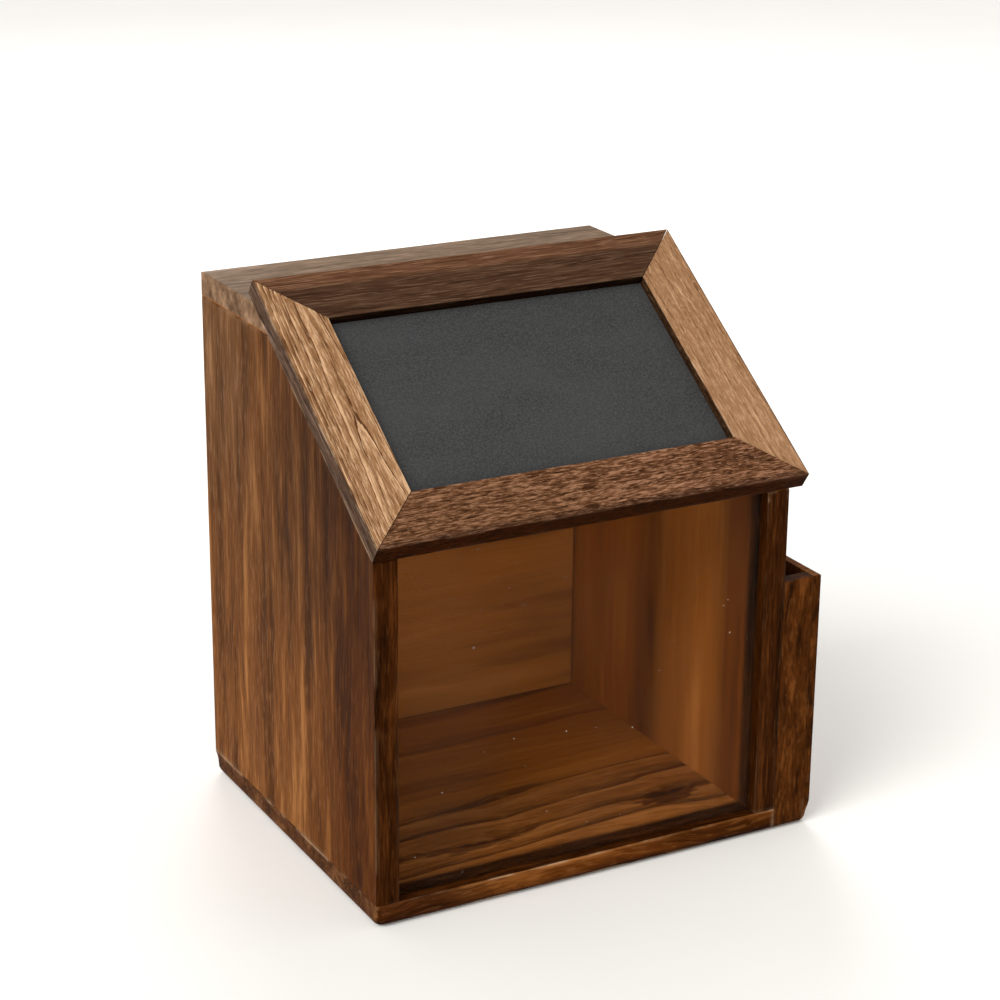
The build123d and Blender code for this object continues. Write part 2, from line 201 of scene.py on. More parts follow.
# One grain field serves the relief and the colour. It reads millimetres along, across and into the board.
grainInputs = {
    "Ring Spacing": 4.0,
    "Ring Squash": 1.0,        # 0 for flat rings, 1 for round ones
    "Pith Across": 0.0,        # the rings' centre, from the board's middle
    "Pith Deep": 30.0,
    "Tilt": 0.05,              # of the trunk against the board
    "Waviness": 6.0,
    "Sharpness": 3.0,          # of each ring's late wood
    "Fibre Count": 0.3,        # per millimetre, with finer ones inside
    "Fibre Length": 70.0,
    "Fleck Count": 1.6,
    "Fleck Length": 6.0,
    "Seed": 0.0,
}


def grainField(wires, place, given):
    seed = wires.scaled((1.0, 3.7, 1.9), given["Seed"])
    slow = wires.vector("ADD", wires.vector("MULTIPLY", place, (0.011, 0.035, 0.035)), seed)
    warp = wires.vector("SUBTRACT", wires.noise(slow)["Color"], (0.5, 0.5, 0.5))
    moved = wires.vector("ADD", place, wires.scaled(warp, given["Waviness"]))
    along, across, deep = wires.split(moved)
    fromPith = wires.joined(
        0.0,
        wires.math("SUBTRACT", across, given["Pith Across"]),
        wires.math("MULTIPLY", wires.math("ADD", deep, given["Pith Deep"]), given["Ring Squash"]),
    )
    radius = wires.math("MULTIPLY_ADD", along, given["Tilt"], wires.vector("LENGTH", fromPith))
    count = wires.math("DIVIDE", radius, given["Ring Spacing"])
    countPlace = wires.vector("ADD", wires.joined(0.0, wires.math("MULTIPLY", count, 0.37), 0.0), seed)
    count = wires.math("MULTIPLY_ADD", wires.noise(countPlace, detail=1.0)[0], 2.2, count)
    within = wires.math("FRACT", count)
    late = wires.math("POWER", within, given["Sharpness"])
    late = wires.math("MULTIPLY", late, wires.ramp(within, 0.84, 0.94, 1.0, 0.0))
    groove = wires.math("MULTIPLY", wires.ramp(within, 0.84, 0.93), wires.ramp(within, 0.93, 1.0, 1.0, 0.0))
    strands = wires.joined(wires.math("DIVIDE", 1.0, given["Fibre Length"]), given["Fibre Count"], given["Fibre Count"])
    fine = wires.vector("MULTIPLY", moved, strands)
    fibre = wires.noise(wires.vector("ADD", fine, seed), detail=4.0, roughness=0.68)[0]
    dashes = wires.joined(wires.math("DIVIDE", 1.0, given["Fleck Length"]), given["Fleck Count"], given["Fleck Count"])
    dashPlace = wires.vector("ADD", wires.vector("MULTIPLY", moved, dashes), seed)
    fleck = wires.noise(dashPlace, detail=2.0)[0]
    broad = wires.vector("MULTIPLY", moved, (0.008, 0.06, 0.06))
    patch = wires.noise(wires.vector("ADD", broad, seed), detail=2.0)[0]
    return late, groove, fibre, fleck, patch


def makeGrainGroup():
    tree = bpy.data.node_groups.new("woodGrain", "ShaderNodeTree")
    tree.interface.new_socket("Place", in_out="INPUT", socket_type="NodeSocketVector")
    for name, value in grainInputs.items():
        tree.interface.new_socket(name, in_out="INPUT", socket_type="NodeSocketFloat").default_value = value
    for name in ("Rings", "Groove", "Fibre", "Fleck", "Patch"):
        tree.interface.new_socket(name, in_out="OUTPUT", socket_type="NodeSocketFloat")
    wires = Wiring(tree)
    given = wires.node("NodeGroupInput").outputs
    out = wires.node("NodeGroupOutput")
    for socket, value in zip(out.inputs, grainField(wires, given["Place"], given)):
        wires.put(socket, value)
    return tree


def makeReliefTree():
    tree = bpy.data.node_groups.new("woodRelief", "GeometryNodeTree")
    add = tree.interface.new_socket
    add("Geometry", in_out="INPUT", socket_type="NodeSocketGeometry")
    add("Material", in_out="INPUT", socket_type="NodeSocketMaterial")
    for name in ("Along", "Across", "Through", "Middle"):
        add(name, in_out="INPUT", socket_type="NodeSocketVector")
    reliefs = {"Ring Relief": 0.1, "Groove Relief": 0.0, "Fibre Relief": 0.05, "Fleck Relief": 0.0}
    for name, value in {**reliefs, **grainInputs}.items():
        add(name, in_out="INPUT", socket_type="NodeSocketFloat").default_value = value
    add("Geometry", in_out="OUTPUT", socket_type="NodeSocketGeometry")
    wires = Wiring(tree)
    given = wires.node("NodeGroupInput").outputs
    centred = wires.vector("SUBTRACT", wires.node("GeometryNodeInputPosition").outputs[0], given["Middle"])
    local = wires.joined(*(wires.vector("DOT_PRODUCT", centred, given[name]) for name in ("Along", "Across", "Through")))
    late, groove, fibre, fleck, _ = grainField(wires, wires.scaled(local, 1 / mm), given)
    worn = wires.math("MULTIPLY", wires.math("SUBTRACT", 1.0, late, clamp=True), given["Ring Relief"])
    worn = wires.math("MULTIPLY_ADD", groove, given["Groove Relief"], worn)
    worn = wires.math("MULTIPLY_ADD", wires.ramp(fibre, 0.7, 0.3), given["Fibre Relief"], worn)
    worn = wires.math("MULTIPLY_ADD", wires.ramp(fleck, 0.62, 0.48), given["Fleck Relief"], worn)
    share = wires.node("GeometryNodeInputNamedAttribute", data_type="FLOAT")
    share.inputs["Name"].default_value = "reliefShare"
    worn = wires.math("MULTIPLY", worn, share.outputs[0])
    moved = wires.node("GeometryNodeSetPosition")
    wires.put(moved.inputs["Geometry"], given["Geometry"])
    normal = wires.node("GeometryNodeInputNormal").outputs[0]
    wires.put(moved.inputs["Offset"], wires.scaled(normal, wires.math("MULTIPLY", worn, -mm)))
    real = wires.node("GeometryNodeRealizeInstances")
    wires.put(real.inputs[0], moved.outputs[0])
    painted = wires.node("GeometryNodeSetMaterial")
    wires.put(painted.inputs["Geometry"], real.outputs[0])
    wires.put(painted.inputs["Material"], given["Material"])
    wires.put(wires.node("NodeGroupOutput").inputs[0], painted.outputs[0])
    return tree


grainGroup = makeGrainGroup()
reliefTree = makeReliefTree()


def setInputs(modifier, values):
    for item in modifier.node_group.interface.items_tree:
        if item.item_type == "SOCKET" and item.in_out == "INPUT" and item.name in values:
            modifier[item.identifier] = values[item.name]


def newMaterial(name):
    material = bpy.data.materials.new(name)
    material.use_nodes = True
    return material, Wiring(material.node_tree), material.node_tree.nodes["Principled BSDF"]


def objectPlace(wires, axes=grainX, middle=(0, 0, 0)):
    mapping = wires.node("ShaderNodeMapping", vector_type="POINT")
    wires.put(mapping.inputs["Vector"], wires.node("ShaderNodeTexCoord").outputs["Object"])
    turn = Matrix(axes.tolist())
    mapping.inputs["Rotation"].default_value = turn.to_euler()
    mapping.inputs["Scale"].default_value = (1 / mm,) * 3
    mapping.inputs["Location"].default_value = -(turn @ Vector(middle)) / mm
    return mapping.outputs[0]


# Stains: linear colours from dark late wood to light early wood
stains = {
    "side": {
        "dark": (0.063, 0.020, 0.0035), "mid": (0.138, 0.047, 0.0102), "light": (0.280, 0.114, 0.033),
        "fleck": (0.32, 0.15, 0.06), "fleckShare": 0.32, "poreShare": 0.35,
        "rings": 0.16, "grooves": 0.0, "fibres": 2.2, "patches": 2.2, "tone": 0.50, "roughness": 0.5,
    },
    "front": {
        "dark": (0.008, 0.0020, 0.0003), "mid": (0.029, 0.0075, 0.0010), "light": (0.070, 0.020, 0.0038),
        "fleck": (0.10, 0.036, 0.010), "fleckShare": 0.25, "poreShare": 0.45,
        "rings": 0.2, "grooves": 0.1, "fibres": 2.2, "patches": 0.7, "tone": 0.50, "roughness": 0.5,
    },
    "inside": {
        "dark": (0.110, 0.033, 0.005), "mid": (0.205, 0.066, 0.010), "light": (0.290, 0.106, 0.022),
        "fleck": (0.30, 0.14, 0.05), "fleckShare": 0.0, "poreShare": 0.0,
        "rings": 0.10, "grooves": 0.0, "fibres": 0.9, "patches": 1.3, "tone": 0.52, "roughness": 0.5,
    },
    "figured": {
        "dark": (0.090, 0.026, 0.003), "mid": (0.250, 0.080, 0.012), "light": (0.400, 0.150, 0.034),
        "fleck": (0.42, 0.18, 0.055), "fleckShare": 0.25, "poreShare": 0.3,
        "rings": 0.95, "grooves": 0.0, "fibres": 1.5, "patches": 1.2, "tone": 0.70, "roughness": 0.5,
    },
    "top": {
        "dark": (0.084, 0.051, 0.031), "mid": (0.176, 0.116, 0.077), "light": (0.30, 0.206, 0.142),
        "fleck": (0.38, 0.28, 0.20), "fleckShare": 0.3, "poreShare": 0.4,
        "rings": 0.15, "grooves": 0.1, "fibres": 2.1, "patches": 0.8, "tone": 0.52, "roughness": 0.6,
    },
    "lidDark": {
        "dark": (0.030, 0.011, 0.004), "mid": (0.103, 0.043, 0.019), "light": (0.250, 0.124, 0.066),
        "fleck": (0.32, 0.17, 0.095), "fleckShare": 0.65, "poreShare": 0.6,
        "rings": 0.20, "grooves": 0.2, "fibres": 3.3, "patches": 0.8, "tone": 0.52, "roughness": 0.55,
    },
    "lidTop": {
        "dark": (0.024, 0.010, 0.005), "mid": (0.060, 0.029, 0.016), "light": (0.115, 0.061, 0.036),
        "fleck": (0.17, 0.10, 0.062), "fleckShare": 0.5, "poreShare": 0.45,
        "rings": 0.2, "grooves": 0.2, "fibres": 1.7, "patches": 0.6, "tone": 0.50, "roughness": 0.55,
    },
    "lidLight": {
        "dark": (0.090, 0.036, 0.014), "mid": (0.270, 0.139, 0.063), "light": (0.540, 0.335, 0.190),
        "fleck": (0.66, 0.45, 0.28), "fleckShare": 0.40, "poreShare": 0.35,
        "rings": -0.70, "grooves": 1.25, "fibres": 2.0, "patches": 0.7, "tone": 0.43, "roughness": 0.5,
    },
    "lidPale": {
        "dark": (0.150, 0.068, 0.031), "mid": (0.285, 0.150, 0.073), "light": (0.470, 0.282, 0.158),
        "fleck": (0.60, 0.39, 0.25), "fleckShare": 0.30, "poreShare": 0.28,
        "rings": -0.15, "grooves": 0.35, "fibres": 1.8, "patches": 0.7, "tone": 0.52, "roughness": 0.5,
    },
}
stains["banded"] = {**stains["inside"], "rings": 0.55, "patches": 0.9}
woodGloss = {"level": 0.02, "tint": (1.0, 0.60, 0.35)}


def woodColour(wires, stain, grain, axes, middle):
    group = wires.node("ShaderNodeGroup", node_tree=grainGroup)
    wires.put(group.inputs["Place"], objectPlace(wires, axes, middle))
    for key, value in grain.items():
        group.inputs[key].default_value = value
    rings, groove, fibre, fleck, patch = group.outputs
    tone = wires.math("MULTIPLY_ADD", wires.math("SUBTRACT", fibre, 0.5), stain["fibres"], stain["tone"])
    tone = wires.math("MULTIPLY_ADD", wires.math("SUBTRACT", patch, 0.5), stain["patches"], tone)
    tone = wires.math("MULTIPLY_ADD", rings, -stain["rings"], tone)
    tone = wires.math("MULTIPLY_ADD", groove, -stain["grooves"], tone)
    colour = wires.mix(wires.ramp(tone, 0.0, 0.5), stain["dark"], stain["mid"])
    colour = wires.mix(wires.ramp(tone, 0.5, 1.0), colour, stain["light"])
    if stain["fleckShare"]:
        colour = wires.mix(wires.ramp(fleck, 0.54, 0.68, 0.0, stain["fleckShare"]), colour, stain["fleck"])
        colour = wires.mix(wires.ramp(fleck, 0.46, 0.32, 0.0, stain["poreShare"]), colour, stain["dark"])
    return colour, tone, fibre


def zoneShare(wires, places, zone):
    share = None
    for axis, start, end in zone["where"]:
        part = wires.ramp(places[axis], start, end)
        share = part if share is None else wires.math("MULTIPLY", share, part)
    if "spot" in zone:
        (x, y), (wide, deep) = zone["spot"]
        flat = wires.joined(wires.math("MULTIPLY_ADD", places["X"], 1 / wide, -x / wide),
                            wires.math("MULTIPLY_ADD", places["Y"], 1 / deep, -y / deep), 0.0)
        ragged = wires.noise(wires.joined(places["X"], wires.math("MULTIPLY", places["Y"], 2.5), 0.0), 0.16, 3.0)[0]
        reach = wires.math("ADD", wires.vector("LENGTH", flat), wires.math("MULTIPLY_ADD", ragged, 2.0, -1.0))
        share = wires.math("MULTIPLY", share, wires.ramp(reach, 1.0, 0.6))
    return share


def woodMaterial(name, board):
    material, wires, shader = newMaterial(name)
    axes, middle, grain = board["axes"], board["middle"], board["grain"]
    colour, tone, fibre = woodColour(wires, stains[board["stain"]], grain, axes, middle)
    names = ("X", "Y", "Z", "along", "across", "through")
    places = dict(zip(names, [*wires.split(objectPlace(wires)), *wires.split(objectPlace(wires, axes, middle))]))
    for zone in board.get("zones", []):
        if "tint" in zone:
            other = wires.mix(1.0, colour, zone["tint"], "MULTIPLY")
        else:
            other = woodColour(wires, stains[zone["stain"]], {**grain, **zone.get("grain", {})}, axes, middle)[0]
        colour = wires.mix(zoneShare(wires, places, zone), colour, other)
    arris = wires.node("ShaderNodeAttribute", attribute_name="arris").outputs["Fac"]
    rubbed = wires.noise(wires.scaled(objectPlace(wires), 0.05), detail=4.0, roughness=0.55)[0]
    wear = wires.math("MULTIPLY", arris, wires.ramp(rubbed, 0.44, 0.62, 0.0, board["wear"]))
    colour = wires.mix(wear, colour, board["wearColour"])
    wires.put(shader.inputs["Base Color"], colour)
    rough = wires.math("MULTIPLY_ADD", fibre, 0.22, stains[board["stain"]]["roughness"] - 0.08)
    wires.put(shader.inputs["Roughness"], rough)
    shader.inputs["Specular IOR Level"].default_value = woodGloss["level"]
    shader.inputs["Specular Tint"].default_value = (*woodGloss["tint"], 1.0)
    bump = wires.node("ShaderNodeBump")
    bump.inputs["Strength"].default_value = board["bump"]
    bump.inputs["Distance"].default_value = 0.15 * mm
    wires.put(bump.inputs["Height"], wires.math("ADD", fibre, tone))
    wires.put(shader.inputs["Normal"], bump.outputs[0])
    return material


# Boards: a lattice with eased arrises, bent to the board's own outline

def gridLines(low, high, step, ease, extra=()):
    inner = np.linspace(low + ease, high - ease, max(2, round((high - low - 2 * ease) / step) + 1))
    for place in extra:
        inner[np.abs(inner - place).argmin()] = place
    near = np.array([0.0, 0.3, 0.65]) * ease
    return np.concatenate([low + near, inner, high - near[::-1]])


def lattice(lines, filled):
    counts = [len(axis) for axis in lines]
    middles = [(axis[1:] + axis[:-1]) / 2 for axis in lines]
    solid = np.zeros([count + 1 for count in counts], bool)
    solid[1:-1, 1:-1, 1:-1] = filled(*np.meshgrid(*middles, indexing="ij"))
    quads = []
    for axis in range(3):
        behind = solid[tuple(slice(None, -1) if a == axis else slice(1, -1) for a in range(3))]
        ahead = solid[tuple(slice(1, None) if a == axis else slice(1, -1) for a in range(3))]
        b, c = [a for a in range(3) if a != axis]
        eb, ec = np.eye(3, dtype=int)[b], np.eye(3, dtype=int)[c]
        for wall, outward in ((behind & ~ahead, axis != 1), (ahead & ~behind, axis == 1)):
            corner = np.argwhere(wall)
            ring = [corner, corner + eb, corner + eb + ec, corner + ec]
            quads.append(np.stack(ring if outward else ring[::-1], axis=1))
    quads = np.concatenate(quads)
    keys = (quads[..., 0] * counts[1] + quads[..., 1]) * counts[2] + quads[..., 2]
    used, faces = np.unique(keys, return_inverse=True)
    index = np.unravel_index(used, counts)
    points = np.stack([axis[i] for axis, i in zip(lines, index)], axis=1)
    return points, faces.reshape(keys.shape)


def easedArrises(points, low, high, ease):
    core = np.clip(points, low + ease, high - ease)
    out = (points - core) / ease
    length = np.linalg.norm(out, axis=1, keepdims=True)
    return core + np.where(length > 0, out / np.maximum(length, 1e-9), 0) * ease


def arrisNearness(points, low, high, ends):
    gaps = np.minimum(points - low, high - points)
    if not ends:
        gaps[:, 0] = 1.0
    gaps.sort(axis=1)
    return np.exp(-np.maximum(gaps[:, 1], 0) / (0.35 * mm))


def rubbedMost(points):
    x, y, z = points.T / mm
    front = y < -84
    most = (y > 86) | (z > 160) | ((x < -97.5) & ~front) | (front & (z < 12.5) & (x > -60))
    some = np.where(front & (x < -97.5), 0.4, np.where(front | (x > 97.5), 0.15, 0.0))
    return np.where(most, 1.0, some)


foot = {"radius": 4.5 * mm, "rise": 6 * mm}    # the rounded lower corners, sharper above


def roundedFoot(points, node):
    low, high = (np.array(corner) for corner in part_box(node))
    radius = foot["radius"]
    if node == "floor_board":
        high[0] += 2 * radius              # the pocket covers that end
    else:
        low[0] -= 10 * radius
    core = np.clip(points, low + radius, high - radius)
    core[:, 2] = np.maximum(points[:, 2], low[2] + radius)
    out = (points - core) / radius
    length = np.maximum(np.linalg.norm(out, axis=1), 1.0)
    pull = length ** -np.clip(1 - (points[:, 2] - low[2] - radius) / foot["rise"], 0, 1)
    return core + out * pull[:, None] * radius


def mitred(points, low, high, outerHigh):
    inset = (high[1] - points[:, 1]) if outerHigh else (points[:, 1] - low[1])
    share = (points[:, 0] - low[0]) / (high[0] - low[0])
    points = points.copy()
    points[:, 0] = low[0] + inset + share * (high[0] - low[0] - 2 * inset)
    return points


def underLidSlope(points, low, high):
    top = np.minimum(high[0], heightUnderLid(points[:, 1]))
    points = points.copy()
    points[:, 0] = low[0] + (points[:, 0] - low[0]) * (top - low[0]) / (high[0] - low[0])
    return points


def bevelledFront(points, low, high, slotFront):
    share = np.clip((slotFront - points[:, 1]) / (slotFront - low[1]), 0, 1)
    points = points.copy()
    points[:, 1] += share * (yUnderLid(points[:, 2]) - low[1])
    return points


def cutWith(obj, cutters):
    for cutter in cutters:
        boolean = obj.modifiers.new("cut", "BOOLEAN")
        boolean.object, boolean.solver, boolean.operation = cutter, "EXACT", "DIFFERENCE"
    bake(obj)
    for cutter in cutters:
        bpy.data.objects.remove(cutter)


def prismCutter(outline, frameAxes, low, high):
    count = len(outline)
    outline = np.asarray(outline, float)
    ring = [np.column_stack([outline, np.full(count, level)]) for level in (low, high)]
    points = np.concatenate(ring) @ frameAxes
    mesh = bmesh.new()
    verts = [mesh.verts.new(point) for point in points]
    mesh.faces.new(verts[:count][::-1])
    mesh.faces.new(verts[count:])
    for i in range(count):
        j = (i + 1) % count
        mesh.faces.new((verts[i], verts[j], verts[count + j], verts[count + i]))
    bmesh.ops.recalc_face_normals(mesh, faces=mesh.faces)
    data = bpy.data.meshes.new("cutter")
    mesh.to_mesh(data)
    mesh.free()
    cutter = bpy.data.objects.new("cutter", data)
    scene.collection.objects.link(cutter)
    cutter.hide_render = True
    return cutter


def circle(centre, radius, count=48):
    turns = np.arange(count) * 2 * math.pi / count
    return np.column_stack([centre[0] + radius * np.cos(turns), centre[1] + radius * np.sin(turns)])


def slotOutline(centre, length, width, count=12):
    turns = np.linspace(-math.pi / 2, math.pi / 2, count)
    reach, radius = (length - width) / 2, width / 2
    right = np.column_stack([reach + radius * np.cos(turns), radius * np.sin(turns)])
    return np.concatenate([right, -right]) + centre


boardSteps = np.array([2.2, 0.75, 1.6]) * mm
eased = 0.5 * mm
mitreEase = 0.12 * mm


def makeBoard(name, body, board):
    axes = board["axes"]
    low, high = localBox(name, axes)
    ease = np.array([board.get("endEase", eased), eased, eased])
    steps = np.array(board.get("steps", boardSteps))
    extra = board.get("extraLines", {})
    lines = [gridLines(low[i], high[i], steps[i], ease[i], extra.get(i, ())) for i in range(3)]
    filled = board.get("filled", lambda x, y, z: np.ones(x.shape, bool))
    points, faces = lattice(lines, filled)
    arris = arrisNearness(points, low, high, "endEase" not in board)
    reliefShare = 1 - 0.8 * arris
    if "endEase" in board:
        reliefShare *= np.clip(np.minimum(points[:, 0] - low[0], high[0] - points[:, 0]) / (1.2 * mm), 0, 1)
    points = easedArrises(points, low, high, ease)
    if "bend" in board:
        points = board["bend"](points, low, high)
    points = points @ axes
    if "foot" in board:
        points = roundedFoot(points, board["foot"])
    obj = newObject(board["piece"], points, faces)
    for key, values in {"arris": arris * rubbedMost(points), "reliefShare": reliefShare}.items():
        obj.data.attributes.new(key, "FLOAT", "POINT").data.foreach_set("value", values)
    if "cutters" in board:
        cutWith(obj, board["cutters"]())
    board["middle"] = tuple((low + high) / 2 @ axes)
    material = board["paint"]() if "paint" in board else woodMaterial(board["piece"], board)
    smoothed(obj, 38)
    relief = obj.modifiers.new("relief", "NODES")
    relief.node_group = reliefTree
    vectors = {"Along": axes[0], "Across": axes[1], "Through": axes[2], "Middle": board["middle"]}
    setInputs(relief, {"Material": material, **{key: tuple(map(float, v)) for key, v in vectors.items()}})
    setInputs(relief, {**board["relief"], **grainInputs, **board["grain"]})
    bake(obj)
    smoothed(obj, 38)
    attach(obj, body)
    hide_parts(name)
    print(board["piece"], len(obj.data.polygons), "faces")
    return obj


# The groove for the pane, all round its edges
grooveRoom = 0.15 * mm
paneLow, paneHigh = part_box("window_pane")
grooveFront, grooveBack = paneLow.y - grooveRoom, paneHigh.y + grooveRoom
grooveReach, grooveFloor = paneHigh.x + grooveRoom, paneLow.z - grooveRoom


def clearOfGroove(x, y):
    return ~((y > grooveFront) & (y < grooveBack) & (np.abs(x) < grooveReach))


# Case boards

frontFaces = [("Y", -86.95, -87.2)]
frontGrain = {"Fibre Count": 0.5, "Fibre Length": 32.0}
sideGrain = {"Ring Spacing": 11.0, "Pith Across": 150.0, "Pith Deep": 90.0, "Tilt": 0.004, "Waviness": 6.0, "Sharpness": 1.3,
             "Fibre Count": 0.17, "Fibre Length": 62.0, "Fleck Count": 1.0, "Fleck Length": 9.0}
insideGrain = {"Ring Spacing": 24.0, "Sharpness": 1.5, "Fibre Count": 0.07, "Fibre Length": 160.0, "Waviness": 8.0}
sideRelief = {"Ring Relief": 0.05, "Fibre Relief": 0.16, "Fleck Relief": 0.0}


def sidePanel(piece, inner, seed, zones):
    kink = yUnderLid(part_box("top_board")[0].z)
    return {
        "piece": piece, "slot": "stained_wood", "axes": grainZ, "stain": "side",
        "grain": {**sideGrain, "Seed": seed}, "relief": sideRelief, "bump": 0.4,
        "wear": 0.7, "wearColour": (0.33, 0.21, 0.12), "zones": zones,
        "filled": lambda z, y, x: clearOfGroove(x, y), "bend": underLidSlope,
        "extraLines": {1: (grooveFront, grooveBack, kink), 2: (inner * grooveReach,)},
    }


makeBoard("left_side_panel", "case", sidePanel("leftSidePanel", 1, 3.0, [
    {"tint": (0.80, 0.82, 0.88), "where": [("Z", 60, 140)]},
    {"tint": (1.06, 1.26, 1.8), "where": [("Z", 120, 210), ("Y", 20, 60)]},     # paler and greyer at the top
    {"tint": (0.48, 0.37, 0.20), "where": [("Y", -5, -70)]},                    # darker to the front
    {"tint": (0.56, 0.54, 0.56), "where": [("Z", 75, 205), ("Y", 45, -20)]},    # and painted shade under the lid
    {"stain": "inside", "grain": insideGrain, "where": [("X", -96, -93), ("Y", -76, -70), ("Y", 87.2, 86.7)]},
    {"stain": "front", "where": [("X", -94, -91), ("Y", -74, -79)]},
    {"stain": "front", "grain": frontGrain, "where": frontFaces},
]))
makeBoard("right_side_panel", "case", sidePanel("rightSidePanel", -1, 11.0, [
    {"stain": "inside", "grain": insideGrain, "where": [("X", 96, 93), ("Y", -76, -70), ("Y", 87.2, 86.7)]},
    {"stain": "inside", "grain": {"Fibre Count": 0.22, "Fibre Length": 130.0}, "where": [("X", 96, 93), ("Y", -76, -70), ("Y", -15, -45)]},
    {"tint": (1.5, 1.25, 0.45), "where": [("X", 96, 93), ("Y", 5, 25), ("Y", 78, 76)]},
    {"tint": (0.86, 0.76, 0.56), "where": [("X", 96, 93), ("Y", -4, 7), ("Y", 22, 8)]},       # a darker band
    {"tint": (1.62, 1.55, 1.4), "where": [("X", 96, 93), ("Y", 8, -14), ("Y", -60, -40)]},
    {"tint": (0.74, 0.58, 0.32), "where": [("X", 96, 93), ("Y", -46, -66)]},
    {"stain": "front", "where": [("X", 94, 91), ("Y", -72, -77)]},
    {"stain": "front", "grain": frontGrain, "where": frontFaces},
]))

insideFloor = [("Z", 6.5, 7.5), ("Y", -75, -71), ("Y", 87.2, 86.7), ("X", -99.4, -98.6), ("X", 99.6, 99.0)]
bandedGrain = {"Ring Spacing": 27.0, "Tilt": 0.03, "Waviness": 14.0, "Sharpness": 2.6, "Fibre Count": 0.12, "Fibre Length": 120.0}

makeBoard("floor_board", "case", {
    "piece": "floorBoard", "slot": "floor_wood", "axes": grainX, "stain": "front",
    "grain": {"Ring Spacing": 16.0, "Pith Across": 95.0, "Pith Deep": 40.0, "Tilt": 0.045, "Waviness": 22.0, "Sharpness": 2.0,
              "Fibre Count": 0.28, "Fibre Length": 55.0, "Fleck Count": 0.8, "Fleck Length": 9.0, "Seed": 5.0},
    "relief": {"Ring Relief": 0.06, "Fibre Relief": 0.14, "Fleck Relief": 0.0},
    "bump": 0.4, "wear": 0.9, "wearColour": (0.50, 0.33, 0.20), "foot": "floor_board", "steps": np.array([1.8, 0.75, 1.0]) * mm,
    "zones": [
        {"stain": "figured", "where": insideFloor},
        {"stain": "banded", "grain": bandedGrain, "where": [*insideFloor, ("Y", -25, 5)]},
        {"tint": (1.75, 1.68, 0.90), "where": [*insideFloor, ("Y", -30, 5)]},
        {"tint": (0.50, 0.42, 0.35), "where": [*insideFloor, ("Y", 77, 80)]},                  # painted shade under the door
        {"tint": (0.30, 0.24, 0.20), "where": insideFloor, "spot": ((64, -54), (19, 6.5))},    # a dark smudge
        {"tint": (0.45, 0.40, 0.36), "where": insideFloor, "spot": ((-38, -58), (24, 4))},
        {"tint": (1.5, 1.6, 2.3), "where": frontFaces},
        {"stain": "side", "where": [*frontFaces, ("Z", 1, 6), ("X", -75, -35)]},                # the paler lip
        {"tint": (0.62, 0.50, 0.34), "where": [*frontFaces, ("Z", 10.4, 9.4), ("X", -75, -35)]},
        {"stain": "side", "where": [("X", -98.6, -99.4)]},
        {"tint": (0.50, 0.50, 0.62), "where": [("X", -98.6, -99.4)]},
    ],
    "filled": lambda x, y, z: clearOfGroove(x, y) | (z < grooveFloor),
    "extraLines": {0: (-grooveReach, grooveReach), 1: (grooveFront, grooveBack), 2: (grooveFloor,)},
})

letterSlot = {"middle": (0.0, 43.25 * mm), "length": 130 * mm, "width": 10 * mm}
topLow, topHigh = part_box("top_board")


def letterSlotCutter():
    outline = slotOutline(letterSlot["middle"], letterSlot["length"], letterSlot["width"])
    return [prismCutter(outline, grainX, topLow.z - 1 * mm, topHigh.z + 1 * mm)]


makeBoard("top_board", "case", {
    "piece": "topBoard", "slot": "top_wood", "axes": grainX, "stain": "top",
    "grain": {"Ring Spacing": 4.2, "Pith Across": -70.0, "Pith Deep": 45.0, "Tilt": 0.02, "Waviness": 7.0, "Sharpness": 2.0,
              "Fibre Count": 0.35, "Fibre Length": 30.0, "Fleck Count": 1.0, "Fleck Length": 9.0, "Seed": 7.0},
    "relief": {"Ring Relief": 0.06, "Fibre Relief": 0.12, "Fleck Relief": 0.0},
    "bump": 0.4, "wear": 0.5, "wearColour": (0.42, 0.29, 0.19),
    "zones": [
        {"tint": (1.12, 1.16, 1.22), "where": [("X", -55, -90)]},
        {"stain": "top", "grain": {"Fibre Count": 0.1, "Fleck Count": 0.25}, "where": [("X", -98.6, -99.4)]},
        {"tint": (0.98, 0.86, 0.74), "where": [("X", -98.6, -99.4)]},
        {"stain": "inside", "where": [("Z", 234.5, 233.2)]},
    ],
    "bend": lambda points, low, high: bevelledFront(points, low, high, 37 * mm),
    "cutters": letterSlotCutter,
})

# The lid's frame: mitred members, brushed so that the late wood stands proud

rebate = {"width": 6.0 * mm, "height": 4.2 * mm}
memberSteps = np.array([1.5, 0.34, 0.9]) * mm
railGrain = {"Ring Spacing": 3.4, "Pith Across": 60.0, "Pith Deep": 25.0, "Tilt": 0.015, "Waviness": 3.5, "Sharpness": 2.2,
             "Fibre Count": 0.75, "Fibre Length": 15.0, "Fleck Count": 1.9, "Fleck Length": 7.0}
stileGrain = {"Ring Spacing": 1.6, "Pith Across": -5.0, "Pith Deep": 6.0, "Tilt": 0.02, "Waviness": 3.5, "Sharpness": 2.5,
              "Fibre Count": 0.55, "Fibre Length": 14.0, "Fleck Count": 1.5, "Fleck Length": 6.0}


